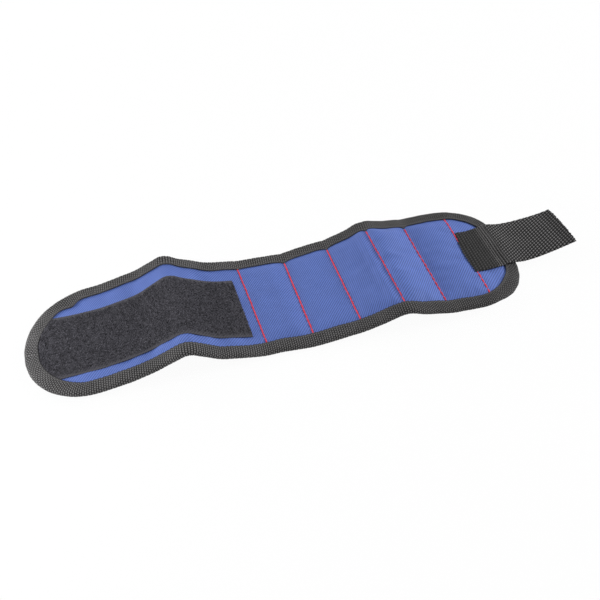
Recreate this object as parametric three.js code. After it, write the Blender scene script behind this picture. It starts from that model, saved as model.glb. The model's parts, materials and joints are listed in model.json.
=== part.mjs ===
// Magnetic wristband laid open on a table with its outer face up. Millimetres, +Z up.
// The band runs along +X from the rounded tail to the strap, and lies in soft waves.
// Every piece is shaped on the flat band and then bent on to the waves:
// u runs along the band from the tail, v across it, and w through it from its middle surface.

import * as THREE from 'three';

// The band's outline
const BAND_WIDTH = 82;
const TAIL_CORNER_RADIUS = 35;
const END_CORNER_RADIUS = 27;
const POCKET_COUNT = 5;
const POCKET_PITCH = 29;
const END_LENGTH = 28.5;

// How the band lies: each stretch of its middle line with its slope in degrees
const TAIL_TIP = { length: 45.5, slope: 3.2 };
const TAIL_RISE = { length: 25, slope: 9.5 };
const RIDGE_UP = { length: 22, slope: 29 };
const RIDGE_DOWN = { length: 20, slope: -30 };
const TAIL_RUN_OUT = { length: 28, slope: -14 };
const POCKET_SLOPES = [0, 6, 19.5, -15.5, 1.5];
const END_SLOPE = -13;
const STRAP_RISE = { length: 10, slope: 7 };
const STRAP_TIP = { length: 25.5, slope: 17 };
const BEND_HALF_SPAN = 4.5;
const BEND_STEPS = 6;

// Layers and their clearances
const FABRIC = 0.6;
const CLEARANCE = 0.3;
const MAGNET_LENGTH = 18;
const MAGNET_WIDTH = 52;
const MAGNET_THICKNESS = 1.5;
const PAD_THICKNESS = 1.2;
const PAD_MARGIN = 0.8;
const POCKET_RAMP = 4;

// Edge binding, folded over the edge of the band
const BINDING_TAPE = 0.8;
const BINDING_COVER = 8.2;

// Stitched rows, which are also the lines where the band folds
const FOLD_GAP = 1;
const ROW_THREAD_RADIUS = 0.65;
const ROW_THREAD_SIDES = 6;
const TONGUE_LENGTH = 1.6;

// Loop patch on the tail
const LOOP_WIDTH = 50;
const LOOP_OFFSET = -3;
const LOOP_THICKNESS = 1.4;
const LOOP_TO_FIRST_ROW = 6.7;

// Strap, its hook patch and the thread that tacks it down
const STRAP_WIDTH = 38;
const WEBBING = 1.3;
const STRAP_FOLD_GAP = 0.8;
const STRAP_STEP_LENGTH = 2.5;
const HOOK_THICKNESS = 1.1;
const HOOK_MARGIN = 2;
const HOOK_TO_FOLD = 6;
const TACK_ROWS = 4;
const TACK_ROW_PITCH = 2.2;
const TACK_THREAD_RADIUS = 0.35;
const TACK_THREAD_SIDES = 6;
const TACK_MARGIN = 1.5;

// Sizes that follow from the ones above
const HALF_WIDTH = BAND_WIDTH / 2;
const SEAM_HALF = FABRIC + CLEARANCE / 2;
const BINDING_INNER_HALF = SEAM_HALF + CLEARANCE;
const BINDING_HALF = BINDING_INNER_HALF + BINDING_TAPE;
const PANEL_INSET = BINDING_TAPE + CLEARANCE;
const POCKET_FILL = MAGNET_THICKNESS + PAD_THICKNESS + 3 * CLEARANCE;
const POCKET_HALF = FABRIC + POCKET_FILL / 2;
const POCKET_EDGE = HALF_WIDTH - BINDING_COVER - CLEARANCE;
const TAIL_FOLD_AT = TAIL_TIP.length;
const CREST_FOLD_AT = TAIL_FOLD_AT + TAIL_RISE.length + RIDGE_UP.length;
const FIRST_ROW_AT = CREST_FOLD_AT + RIDGE_DOWN.length + TAIL_RUN_OUT.length;
const LAST_ROW_AT = FIRST_ROW_AT + POCKET_COUNT * POCKET_PITCH;
const BAND_END_AT = LAST_ROW_AT + END_LENGTH;
const STRAP_TIP_AT = BAND_END_AT + BEND_HALF_SPAN + STRAP_RISE.length + STRAP_TIP.length;
const TONGUE_REACH = Math.sqrt((FOLD_GAP - CLEARANCE) ** 2 - (FABRIC / 2) ** 2);
const STRAP_NOSE_RADIUS = STRAP_FOLD_GAP - CLEARANCE;
const STRAP_NOSE_TIP_HALF = STRAP_NOSE_RADIUS / 2;
const STRAP_NOSE_REACH = Math.sqrt(STRAP_NOSE_RADIUS ** 2 - STRAP_NOSE_TIP_HALF ** 2);
const STRAP_ON_PANEL = SEAM_HALF + CLEARANCE + WEBBING / 2;
const STRAP_ON_BINDING = BINDING_HALF + CLEARANCE + WEBBING / 2;

const ROUND_STEPS = 5;
const NEAR = -1;
const FAR = 1;

const fabricBlue = new THREE.MeshStandardMaterial({ color: 0x3d59a8, roughness: 0.85 });
const liningBlack = new THREE.MeshStandardMaterial({ color: 0x1d1d20, roughness: 0.95 });
const bindingGrey = new THREE.MeshStandardMaterial({ color: 0x3a3836, roughness: 0.9 });
const loopCharcoal = new THREE.MeshStandardMaterial({ color: 0x333338, roughness: 1 });
const webbingBlack = new THREE.MeshStandardMaterial({ color: 0x262626, roughness: 0.8 });
const threadRed = new THREE.MeshStandardMaterial({ color: 0xe0353f, roughness: 0.6 });
const foamGrey = new THREE.MeshStandardMaterial({ color: 0x55565a, roughness: 1 });
const magnetSteel = new THREE.MeshStandardMaterial({ color: 0x9a9ca0, roughness: 0.35, metalness: 1 });

// Middle line: straight stretches joined by arcs of equal span
const stretches = [
  TAIL_TIP,
  TAIL_RISE,
  RIDGE_UP,
  RIDGE_DOWN,
  TAIL_RUN_OUT,
  ...Array.from({ length: POCKET_COUNT }, (_, i) => ({
    length: POCKET_PITCH,
    slope: POCKET_SLOPES[i % POCKET_SLOPES.length],
  })),
  { length: END_LENGTH + BEND_HALF_SPAN, slope: END_SLOPE },
  STRAP_RISE,
  STRAP_TIP,
];

const lieRuns = [];

function addRun(length, slopeFrom, slopeTo) {
  const last = lieRuns.at(-1);
  const start = last ? alongRun(last, last.length) : { x: 0, z: 0 };
  const at = last ? last.at + last.length : 0;
  lieRuns.push({ at, length, slopeFrom, slopeTo, x: start.x, z: start.z });
}

function alongRun(run, distance) {
  const turn = run.slopeTo - run.slopeFrom;
  const slope = run.slopeFrom + (turn * distance) / run.length;
  if (turn === 0) {
    return {
      x: run.x + distance * Math.cos(slope),
      z: run.z + distance * Math.sin(slope),
      slope,
    };
  }
  const radius = run.length / turn;
  return {
    x: run.x + radius * (Math.sin(slope) - Math.sin(run.slopeFrom)),
    z: run.z - radius * (Math.cos(slope) - Math.cos(run.slopeFrom)),
    slope,
  };
}

stretches.forEach((stretch, i) => {
  const next = stretches[i + 1];
  const slope = THREE.MathUtils.degToRad(stretch.slope);
  const bendBefore = i > 0 ? BEND_HALF_SPAN : 0;
  const bendAfter = next ? BEND_HALF_SPAN : 0;
  addRun(stretch.length - bendBefore - bendAfter, slope, slope);
  if (next) {
    addRun(2 * BEND_HALF_SPAN, slope, THREE.MathUtils.degToRad(next.slope));
  }
});

function middleLine(u) {
  const run = lieRuns.findLast((candidate) => candidate.at <= u) ?? lieRuns[0];
  return alongRun(run, u - run.at);
}

// The first pocket lies flat on the table, so its middle surface is half a pocket above it.
const tableDrop = POCKET_HALF - middleLine(FIRST_ROW_AT + POCKET_PITCH / 2).z;

function bent(u, v, w) {
  const line = middleLine(u);
  return [line.x - w * Math.sin(line.slope), v, line.z + tableDrop + w * Math.cos(line.slope)];
}

// Stations along the band between two places, close enough to follow the bends
function stationsBetween(from, to) {
  const stations = [from];
  for (const run of lieRuns) {
    const steps = run.slopeFrom === run.slopeTo ? 1 : BEND_STEPS;
    for (let k = 0; k < steps; k += 1) {
      const u = run.at + (run.length * k) / steps;
      if (u > from + CLEARANCE && u < to - CLEARANCE) {
        stations.push(u);
      }
    }
  }
  stations.push(to);
  return stations;
}

function closedMesh(name, material, points, triangles) {
  const geometry = new THREE.BufferGeometry();
  geometry.setAttribute('position', new THREE.Float32BufferAttribute(points.flat(), 3));
  geometry.setIndex(triangles.flat());
  geometry.computeVertexNormals();
  const mesh = new THREE.Mesh(geometry, material);
  mesh.name = name;
  return mesh;
}

// A layer of the band: columns across at each station, between a lower and an upper surface
function layer(name, material, stations, columnsAt, lowerAt, upperAt) {
  const points = [];
  const triangles = [];
  const columnCount = columnsAt(stations[0]).length;
  for (const surface of [lowerAt, upperAt]) {
    for (const u of stations) {
      for (const v of columnsAt(u)) {
        points.push(bent(u, v, surface(u, v)));
      }
    }
  }
  const upperStart = stations.length * columnCount;
  const lower = (i, j) => i * columnCount + j;
  const upper = (i, j) => upperStart + i * columnCount + j;
  const quad = (a, b, c, d) => triangles.push([a, b, c], [a, c, d]);
  const lastRow = stations.length - 1;
  const lastColumn = columnCount - 1;
  for (let i = 0; i < lastRow; i += 1) {
    for (let j = 0; j < lastColumn; j += 1) {
      quad(upper(i, j), upper(i + 1, j), upper(i + 1, j + 1), upper(i, j + 1));
      quad(lower(i, j), lower(i, j + 1), lower(i + 1, j + 1), lower(i + 1, j));
    }
    quad(lower(i, 0), lower(i + 1, 0), upper(i + 1, 0), upper(i, 0));
    quad(lower(i + 1, lastColumn), lower(i, lastColumn), upper(i, lastColumn), upper(i + 1, lastColumn));
  }
  for (let j = 0; j < lastColumn; j += 1) {
    quad(lower(0, j + 1), lower(0, j), upper(0, j), upper(0, j + 1));
    quad(lower(lastRow, j), lower(lastRow, j + 1), upper(lastRow, j + 1), upper(lastRow, j));
  }
  return closedMesh(name, material, points, triangles);
}

// A closed section carried along a path. Each place on the path turns the section's two
// coordinates into u, v and w.
function sweep(name, material, section, places) {
  const count = section.length;
  const points = places.flatMap((place) => section.map((corner) => bent(...place(corner))));
  const triangles = [];
  for (let i = 0; i < places.length - 1; i += 1) {
    for (let j = 0; j < count; j += 1) {
      const k = (j + 1) % count;
      const here = i * count;
      const ahead = here + count;
      triangles.push([here + j, here + k, ahead + k], [here + j, ahead + k, ahead + j]);
    }
  }
  const lastStart = (places.length - 1) * count;
  for (const [a, b, c] of THREE.ShapeUtils.triangulateShape(section, [])) {
    triangles.push([a, c, b], [lastStart + a, lastStart + b, lastStart + c]);
  }
  return closedMesh(name, material, points, triangles);
}

// Half the band's width at a station, measured to a line set in from its edge
function halfWidthAt(u, inset) {
  const tailReach = cornerReach(u, TAIL_CORNER_RADIUS, inset);
  const endReach = cornerReach(BAND_END_AT - u, END_CORNER_RADIUS, inset);
  return Math.min(tailReach, endReach);
}

function cornerReach(fromEnd, radius, inset) {
  if (fromEnd >= radius) {
    return HALF_WIDTH - inset;
  }
  const rise = (radius - inset) ** 2 - (radius - fromEnd) ** 2;
  return HALF_WIDTH - radius + Math.sqrt(Math.max(rise, 0));
}

// Distances from an end that follow its round corners
function cornerSteps(radius, inset) {
  return Array.from({ length: ROUND_STEPS }, (_, k) => {
    const angle = (k / ROUND_STEPS) * (Math.PI / 2);
    return radius - (radius - inset) * Math.cos(angle);
  });
}

function tailStations(to, inset) {
  const corner = cornerSteps(TAIL_CORNER_RADIUS, inset);
  return [...corner, ...stationsBetween(TAIL_CORNER_RADIUS, to)];
}

function endStations(from, inset) {
  const corner = cornerSteps(END_CORNER_RADIUS, inset).map((step) => BAND_END_AT - step);
  const straight = stationsBetween(from, BAND_END_AT - END_CORNER_RADIUS);
  return [...straight, ...corner.reverse()];
}

// Panels: the outer fabric above the middle surface and the lining below it
function smooth(from, to, value) {
  return THREE.MathUtils.smoothstep(value, from, to);
}

function pocketHalfAt(u, v) {
  const intoPocket = (u - FIRST_ROW_AT) % POCKET_PITCH;
  const fromRow = Math.min(intoPocket, POCKET_PITCH - intoPocket);
  const alongFill = smooth(FOLD_GAP, BEND_HALF_SPAN, fromRow);
  const acrossFill = smooth(0, POCKET_RAMP, POCKET_EDGE - Math.abs(v));
  return SEAM_HALF + (POCKET_HALF - SEAM_HALF) * alongFill * acrossFill;
}

function seamHalf() {
  return SEAM_HALF;
}

function outerPanel(place, stations, columnsAt, halfAt) {
  const inner = (u, v) => halfAt(u, v) - FABRIC;
  return layer(`outer_panel_${place}`, fabricBlue, stations, columnsAt, inner, halfAt);
}

function lining(place, stations, columnsAt, halfAt) {
  const outer = (u, v) => -halfAt(u, v);
  const inner = (u, v) => FABRIC - halfAt(u, v);
  return layer(`lining_${place}`, liningBlack, stations, columnsAt, outer, inner);
}

function panelPair(place, stations, columnsAt, halfAt) {
  return [
    outerPanel(place, stations, columnsAt, halfAt),
    lining(place, stations, columnsAt, halfAt),
  ];
}

// Panels past a fold of the tail: a tongue of the outer fabric crosses the fold line, and the
// lining starts behind it.
function panelPairPastFold(place, foldAt, to) {
  const behind = stationsBetween(foldAt + TONGUE_LENGTH, to);
  const tongue = [foldAt - TONGUE_REACH, foldAt + TONGUE_REACH];
  const halfAt = (u) => {
    const rise = smooth(foldAt + TONGUE_REACH, foldAt + TONGUE_LENGTH, u);
    return FABRIC / 2 + (SEAM_HALF - FABRIC / 2) * rise;
  };
  return [
    outerPanel(place, [...tongue, ...behind], edgeColumns, halfAt),
    lining(place, behind, edgeColumns, seamHalf),
  ];
}

function edgeColumns(u) {
  const reach = halfWidthAt(u, PANEL_INSET);
  return [-reach, reach];
}

function pocketColumns() {
  const reach = HALF_WIDTH - PANEL_INSET;
  const ramp = [0, POCKET_RAMP / 2, POCKET_RAMP].map((step) => POCKET_EDGE - step);
  const half = [reach, ...ramp];
  return [...half.map((v) => -v), ...half.reverse()];
}

// Binding: a tape folded round the edge, open towards the panels
function bindingSection() {
  const corners = [new THREE.Vector2(BINDING_COVER, BINDING_HALF)];
  const noseSteps = 4;
  for (let k = 0; k <= noseSteps; k += 1) {
    const angle = Math.PI / 2 + (k / noseSteps) * Math.PI;
    const nose = new THREE.Vector2(1 + Math.cos(angle), Math.sin(angle));
    corners.push(nose.multiplyScalar(BINDING_HALF));
  }
  corners.push(new THREE.Vector2(BINDING_COVER, -BINDING_HALF));
  corners.push(new THREE.Vector2(BINDING_COVER, -BINDING_INNER_HALF));
  corners.push(new THREE.Vector2(BINDING_TAPE, -BINDING_INNER_HALF));
  corners.push(new THREE.Vector2(BINDING_TAPE, BINDING_INNER_HALF));
  corners.push(new THREE.Vector2(BINDING_COVER, BINDING_INNER_HALF));
  return corners;
}

function straightEdge(stations, side) {
  const ordered = side === NEAR ? stations : [...stations].reverse();
  return ordered.map((u) => (corner) => [u, side * (HALF_WIDTH - corner.x), corner.y]);
}

// A quarter turn of the edge round a corner. The centre is on the near or far side, and the
// turn starts from the given angle, counted from +u towards +v.
function cornerEdge(centreU, centreV, radius, fromAngle) {
  return Array.from({ length: ROUND_STEPS + 1 }, (_, k) => {
    const angle = fromAngle + (k / ROUND_STEPS) * (Math.PI / 2);
    return (corner) => [
      centreU + (radius - corner.x) * Math.cos(angle),
      centreV + (radius - corner.x) * Math.sin(angle),
      corner.y,
    ];
  });
}

function sideBindings(place, stations) {
  const section = bindingSection();
  return [
    sweep(`binding_near_${place}`, bindingGrey, section, straightEdge(stations, NEAR)),
    sweep(`binding_far_${place}`, bindingGrey, section, straightEdge(stations, FAR)),
  ];
}

function tailBinding() {
  const to = TAIL_FOLD_AT - FOLD_GAP;
  const straight = stationsBetween(TAIL_CORNER_RADIUS, to).slice(1);
  const corner = HALF_WIDTH - TAIL_CORNER_RADIUS;
  const path = [
    ...straightEdge(straight, FAR),
    ...cornerEdge(TAIL_CORNER_RADIUS, corner, TAIL_CORNER_RADIUS, Math.PI / 2),
    ...cornerEdge(TAIL_CORNER_RADIUS, -corner, TAIL_CORNER_RADIUS, Math.PI),
    ...straightEdge(straight, NEAR),
  ];
  return sweep('binding_tail_tip', bindingGrey, bindingSection(), path);
}

function endBinding() {
  const from = LAST_ROW_AT + FOLD_GAP;
  const turnAt = BAND_END_AT - END_CORNER_RADIUS;
  const straight = stationsBetween(from, turnAt).slice(0, -1);
  const corner = HALF_WIDTH - END_CORNER_RADIUS;
  const path = [
    ...straightEdge(straight, NEAR),
    ...cornerEdge(turnAt, -corner, END_CORNER_RADIUS, -Math.PI / 2),
    ...cornerEdge(turnAt, corner, END_CORNER_RADIUS, 0),
    ...straightEdge(straight, FAR),
  ];
  return sweep('binding_end', bindingGrey, bindingSection(), path);
}

// Loop patch: its tail end follows the inner edge of the binding
function loopPatch(place, stations) {
  const inset = BINDING_COVER + CLEARANCE;
  const columns = (u) => {
    const reach = halfWidthAt(u, inset);
    const near = Math.max(LOOP_OFFSET - LOOP_WIDTH / 2, -reach);
    const far = Math.min(LOOP_OFFSET + LOOP_WIDTH / 2, reach);
    return [near, far];
  };
  const lower = () => SEAM_HALF + CLEARANCE;
  const upper = () => SEAM_HALF + CLEARANCE + LOOP_THICKNESS;
  return layer(`loop_patch_${place}`, loopCharcoal, stations, columns, lower, upper);
}

// Inside a pocket, from the outer fabric inwards: the magnet, then the pad next to the lining
function magnetBar(number, middle) {
  const upper = POCKET_HALF - FABRIC - CLEARANCE;
  const lower = upper - MAGNET_THICKNESS;
  const stations = [middle - MAGNET_LENGTH / 2, middle + MAGNET_LENGTH / 2];
  const columns = () => [-MAGNET_WIDTH / 2, MAGNET_WIDTH / 2];
  return layer(`magnet_bar_${number}`, magnetSteel, stations, columns, () => lower, () => upper);
}

function comfortPad(number, middle) {
  const lower = -(POCKET_HALF - FABRIC - CLEARANCE);
  const upper = lower + PAD_THICKNESS;
  const halfLength = MAGNET_LENGTH / 2 + PAD_MARGIN;
  const halfWidth = MAGNET_WIDTH / 2 + PAD_MARGIN;
  const stations = [middle - halfLength, middle + halfLength];
  const columns = () => [-halfWidth, halfWidth];
  return layer(`comfort_pad_${number}`, foamGrey, stations, columns, () => lower, () => upper);
}

function ringSection(radius, sides) {
  return Array.from({ length: sides }, (_, k) => {
    const angle = (k / sides) * 2 * Math.PI;
    return new THREE.Vector2(Math.cos(angle), Math.sin(angle)).multiplyScalar(radius);
  });
}

// A stitched row is a thread along the line where the band folds.
function stitchRow(number, at) {
  const section = ringSection(ROW_THREAD_RADIUS, ROW_THREAD_SIDES);
  const places = [POCKET_EDGE, -POCKET_EDGE].map((v) => (corner) => [at + corner.x, v, corner.y]);
  return sweep(`stitch_row_${number}`, threadRed, section, places);
}

// Strap: the sewn length steps up from the panel on to the binding, and the free length
// starts where the band ends.
function strapMiddleAt(u) {
  const stepEnd = BAND_END_AT - BINDING_COVER - CLEARANCE;
  const climb = smooth(stepEnd - STRAP_STEP_LENGTH, stepEnd, u);
  return STRAP_ON_PANEL + (STRAP_ON_BINDING - STRAP_ON_PANEL) * climb;
}

function strapColumns() {
  return [-STRAP_WIDTH / 2, STRAP_WIDTH / 2];
}

function strapBase() {
  const from = LAST_ROW_AT + ROW_THREAD_RADIUS + 2 * CLEARANCE;
  const stepEnd = BAND_END_AT - BINDING_COVER - CLEARANCE;
  const step = [stepEnd - STRAP_STEP_LENGTH, stepEnd - STRAP_STEP_LENGTH / 2];
  const bend = stationsBetween(from, step[0]).slice(0, -1);
  const stations = [...bend, ...step, stepEnd, BAND_END_AT - STRAP_FOLD_GAP];
  const lower = (u) => strapMiddleAt(u) - WEBBING / 2;
  const upper = (u) => strapMiddleAt(u) + WEBBING / 2;
  return layer('strap_base', webbingBlack, stations, strapColumns, lower, upper);
}

function strapWebbing() {
  const nose = [BAND_END_AT - STRAP_NOSE_REACH, BAND_END_AT];
  const stations = [...nose, ...stationsBetween(BAND_END_AT + STRAP_FOLD_GAP, STRAP_TIP_AT)];
  const halfAt = (u) => {
    if (u < BAND_END_AT) {
      return STRAP_NOSE_TIP_HALF;
    }
    return u === BAND_END_AT ? STRAP_NOSE_RADIUS : WEBBING / 2;
  };
  const lower = (u) => STRAP_ON_BINDING - halfAt(u);
  const upper = (u) => STRAP_ON_BINDING + halfAt(u);
  return layer('strap_webbing', webbingBlack, stations, strapColumns, lower, upper);
}

function hookPatch() {
  const from = BAND_END_AT + HOOK_TO_FOLD;
  const stations = stationsBetween(from, STRAP_TIP_AT - HOOK_MARGIN);
  const reach = STRAP_WIDTH / 2 - HOOK_MARGIN;
  const upper = STRAP_ON_BINDING - WEBBING / 2 - CLEARANCE;
  const lower = upper - HOOK_THICKNESS;
  return layer('hook_patch', webbingBlack, stations, () => [-reach, reach], () => lower, () => upper);
}

// One thread runs to and fro across the strap where it crosses the binding.
function tackThread() {
  const height = STRAP_ON_BINDING + WEBBING / 2 + CLEARANCE + TACK_THREAD_RADIUS;
  const reach = STRAP_WIDTH / 2 - TACK_MARGIN;
  const firstRow = BAND_END_AT - BINDING_COVER + TACK_THREAD_RADIUS;
  const turnRadius = TACK_ROW_PITCH / 2;
  const turnSteps = 4;
  const section = ringSection(TACK_THREAD_RADIUS, TACK_THREAD_SIDES);
  const places = [];
  const addPlace = (u, v, heading) => {
    const sideU = Math.cos(heading);
    const sideV = Math.sin(heading);
    places.push((corner) => [u + corner.x * sideU, v + corner.x * sideV, height + corner.y]);
  };
  for (let row = 0; row < TACK_ROWS; row += 1) {
    const u = firstRow + row * TACK_ROW_PITCH;
    const way = row % 2 === 0 ? 1 : -1;
    const heading = way === 1 ? Math.PI : 0;
    addPlace(u, -way * reach, heading);
    addPlace(u, way * reach, heading);
    for (let k = 1; k < turnSteps && row < TACK_ROWS - 1; k += 1) {
      const turn = (k / turnSteps) * Math.PI;
      const turnU = u + turnRadius * (1 - Math.cos(turn));
      addPlace(turnU, way * (reach + turnRadius * Math.sin(turn)), heading - way * turn);
    }
  }
  return sweep('strap_tack_thread', webbingBlack, section, places);
}

// Assembly
const band = new THREE.Group();

const tipInset = BINDING_COVER + CLEARANCE;
const tipEnd = TAIL_FOLD_AT - FOLD_GAP;
band.add(...panelPair('tail_tip', tailStations(tipEnd, PANEL_INSET), edgeColumns, seamHalf));
band.add(tailBinding());
band.add(loopPatch('tail_tip', tailStations(tipEnd, tipInset)));

const midEnd = CREST_FOLD_AT - FOLD_GAP;
const midStations = stationsBetween(TAIL_FOLD_AT + FOLD_GAP, midEnd);
band.add(...panelPairPastFold('tail_mid', TAIL_FOLD_AT, midEnd));
band.add(...sideBindings('tail_mid', midStations));
band.add(loopPatch('tail_mid', midStations));

const rootStart = CREST_FOLD_AT + FOLD_GAP;
const rootEnd = FIRST_ROW_AT - FOLD_GAP;
const rootStations = stationsBetween(rootStart, rootEnd);
band.add(...panelPairPastFold('tail_root', CREST_FOLD_AT, rootEnd));
band.add(...sideBindings('tail_root', rootStations));
band.add(loopPatch('tail_root', stationsBetween(rootStart, FIRST_ROW_AT - LOOP_TO_FIRST_ROW)));

for (let number = 1; number <= POCKET_COUNT; number += 1) {
  const rowAt = FIRST_ROW_AT + (number - 1) * POCKET_PITCH;
  const middle = rowAt + POCKET_PITCH / 2;
  const stations = stationsBetween(rowAt + FOLD_GAP, rowAt + POCKET_PITCH - FOLD_GAP);
  band.add(stitchRow(number, rowAt));
  band.add(...panelPair(`pocket_${number}`, stations, pocketColumns, pocketHalfAt));
  band.add(...sideBindings(`pocket_${number}`, stations));
  band.add(magnetBar(number, middle));
  band.add(comfortPad(number, middle));
}

band.add(stitchRow(POCKET_COUNT + 1, LAST_ROW_AT));
const endPanelStations = endStations(LAST_ROW_AT + FOLD_GAP, PANEL_INSET);
band.add(...panelPair('end', endPanelStations, edgeColumns, seamHalf));
band.add(endBinding());
band.add(strapBase());
band.add(tackThread());
band.add(strapWebbing());
band.add(hookPatch());

// The origin is on the table under the middle of the band's box.
const box = new THREE.Box3().setFromObject(band);
band.position.set(-(box.min.x + box.max.x) / 2, 0, 0);

// Fold lines, for whoever hinges the band: each with its place in the finished frame
const foldPlace = (u, w) => {
  const [x, , z] = bent(u, 0, w);
  return [x + band.position.x, 0, z];
};
band.userData.folds = {
  tail_fold: foldPlace(TAIL_FOLD_AT, 0),
  crest_fold: foldPlace(CREST_FOLD_AT, 0),
  rows: Array.from({ length: POCKET_COUNT + 1 }, (_, i) => foldPlace(FIRST_ROW_AT + i * POCKET_PITCH, 0)),
  strap_fold: foldPlace(BAND_END_AT, STRAP_ON_BINDING),
};

export default band;
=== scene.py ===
"""Magnetic wristband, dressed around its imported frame.

The band is shaped flat, in millimetres: u runs along it from the tail, v across it from the near
edge to the far one, and w through it from its middle surface. It is then bent on to the waves in
which it lies, and the meshes are in metres.
"""

import functools
import json
import math

import bpy
import numpy as np
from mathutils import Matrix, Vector


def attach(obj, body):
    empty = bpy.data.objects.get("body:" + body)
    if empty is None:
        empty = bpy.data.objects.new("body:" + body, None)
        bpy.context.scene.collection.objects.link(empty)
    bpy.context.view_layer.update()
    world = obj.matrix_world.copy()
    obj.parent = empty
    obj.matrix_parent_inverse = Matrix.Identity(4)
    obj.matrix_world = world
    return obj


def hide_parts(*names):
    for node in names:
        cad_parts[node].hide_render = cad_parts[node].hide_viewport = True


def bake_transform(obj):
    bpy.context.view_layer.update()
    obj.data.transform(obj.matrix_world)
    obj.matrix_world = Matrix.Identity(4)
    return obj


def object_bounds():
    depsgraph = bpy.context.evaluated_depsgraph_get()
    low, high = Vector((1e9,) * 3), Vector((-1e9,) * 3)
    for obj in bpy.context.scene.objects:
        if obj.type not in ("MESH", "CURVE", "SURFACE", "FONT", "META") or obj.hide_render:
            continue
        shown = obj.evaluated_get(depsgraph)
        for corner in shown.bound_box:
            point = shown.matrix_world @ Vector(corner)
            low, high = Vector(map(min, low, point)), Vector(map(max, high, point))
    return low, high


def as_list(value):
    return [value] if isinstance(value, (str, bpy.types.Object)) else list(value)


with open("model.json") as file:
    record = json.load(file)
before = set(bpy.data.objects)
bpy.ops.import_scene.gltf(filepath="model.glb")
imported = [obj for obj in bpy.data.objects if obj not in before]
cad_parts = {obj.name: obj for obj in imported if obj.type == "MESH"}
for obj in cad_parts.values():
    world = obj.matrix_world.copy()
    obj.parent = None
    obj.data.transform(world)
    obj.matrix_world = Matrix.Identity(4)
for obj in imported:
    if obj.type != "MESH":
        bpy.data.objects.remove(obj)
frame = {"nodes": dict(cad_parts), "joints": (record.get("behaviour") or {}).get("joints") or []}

CAD_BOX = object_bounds()

bl_info = {
    "name": "Magnetic Wristband",
    "version": (1, 0, 0),
    "blender": (4, 5, 0),
    "location": "View3D > Sidebar > Wristband",
    "description": "Dresses the wristband in cloth, tape, pile and thread",
    "category": "Object",
}

MM = 0.001
CLOTH_MAP = "cloth_mm"
TINY = 1e-12

# The band's outline, with the radius of its near and far corners
HALF_WIDTH = (CAD_BOX[1].y - CAD_BOX[0].y) / 2 / MM
TAIL_CORNERS = (36.0, 44.5)
END_CORNERS = (38.0, 27.0)
POCKET_COUNT = 5
POCKET_PITCH = 29.0
END_LENGTH = 28.5

# How the band lies: the length and the slope in degrees of each stretch of its middle line
TAIL_TIP = (45.5, 3.2)
TAIL_RISE = (25.0, 9.5)
RIDGE_UP = (22.0, 29.0)
RIDGE_DOWN = (20.0, -30.0)
TAIL_RUN_OUT = (28.0, -14.0)
POCKET_SLOPES = (0.0, 6.0, 19.5, -15.5, 1.5)
END_SLOPE = -13.0
STRAP_RISE = (10.0, 7.0)
STRAP_TIP = (25.5, 17.0)
BEND_HALF_SPAN = 4.5
LINE_STEP = 0.05
LINE_SPARE = 8.0

# Layers
FABRIC = 0.6
SEAM_HALF = 0.75
POCKET_HALF = 2.4
PANEL_INSET = 1.1
BINDING_TAPE = 0.8
BINDING_HALF = 1.85
BINDING_INNER_HALF = 1.05
BINDING_COVER = 8.2
LOOP_WIDTH = 50.0
LOOP_OFFSET = -3.0
LOOP_TO_FIRST_ROW = 6.7
STRAP_WIDTH = 38.0
WEBBING = 1.3
STRAP_ON_PANEL = 1.7
STRAP_ON_BINDING = 2.8
STRAP_STEP_LENGTH = 2.5
HOOK_MARGIN = 2.0
HOOK_TO_FOLD = 6.0
TACK_ROWS = 5
TACK_ROW_PITCH = 1.75
TACKS_TO_BINDING = 5.7

# Places along the band
TAIL_FOLD_AT = TAIL_TIP[0]
CREST_FOLD_AT = TAIL_FOLD_AT + TAIL_RISE[0] + RIDGE_UP[0]
FIRST_ROW_AT = CREST_FOLD_AT + RIDGE_DOWN[0] + TAIL_RUN_OUT[0]
ROWS_AT = tuple(FIRST_ROW_AT + i * POCKET_PITCH for i in range(POCKET_COUNT + 1))
LAST_ROW_AT = ROWS_AT[-1]
BAND_END_AT = LAST_ROW_AT + END_LENGTH
STRAP_TIP_AT = BAND_END_AT + BEND_HALF_SPAN + STRAP_RISE[0] + STRAP_TIP[0]
LOOP_END_AT = FIRST_ROW_AT - LOOP_TO_FIRST_ROW
POCKET_EDGE = HALF_WIDTH - BINDING_COVER

# Folds, and the bodies before and after each
FOLDS_AT = (TAIL_FOLD_AT, CREST_FOLD_AT, *ROWS_AT)
BODIES = ("tail_tip", "tail_mid", "tail_root", *(f"pocket_{i + 1}" for i in range(POCKET_COUNT)), "end")
SPLITS_AT = tuple((a + b) / 2 for a, b in zip(FOLDS_AT, FOLDS_AT[1:]))
FOLD_HALF_ZONE = 4.5

# The band is sewn by hand and eye: how far its edges and its rows stray, at places along it
NEAR_EDGE = (
    (35, 55, 70, 100, 130, 147, 168, 190, 220, 238, 262, 285),
    (1.6, 0.9, -0.4, 1.7, 1.1, 0.1, 1.4, 1.2, 2.0, 4.2, 3.7, 4.8),
)
FAR_EDGE = (
    (45, 70, 88, 99, 110, 122, 141, 168, 198, 213, 226, 238, 260, 272, 292, 309),
    (0.2, 1.6, 0.7, -1.5, -0.2, -1.6, -0.2, -1.2, 0.2, -0.5, 1.0, 0.4, 3.6, 3.3, 1.5, 3.0),
)
DRIFT_AT = (LOOP_END_AT - 20, *ROWS_AT, BAND_END_AT)
NEAR_DRIFT = (0.0, 0.4, -0.3, 0.3, -0.9, -2.5, -3.0, 1.3)
FAR_DRIFT = (0.0, -1.6, -0.3, -0.15, -1.3, -2.2, -1.65, 2.4)

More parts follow.
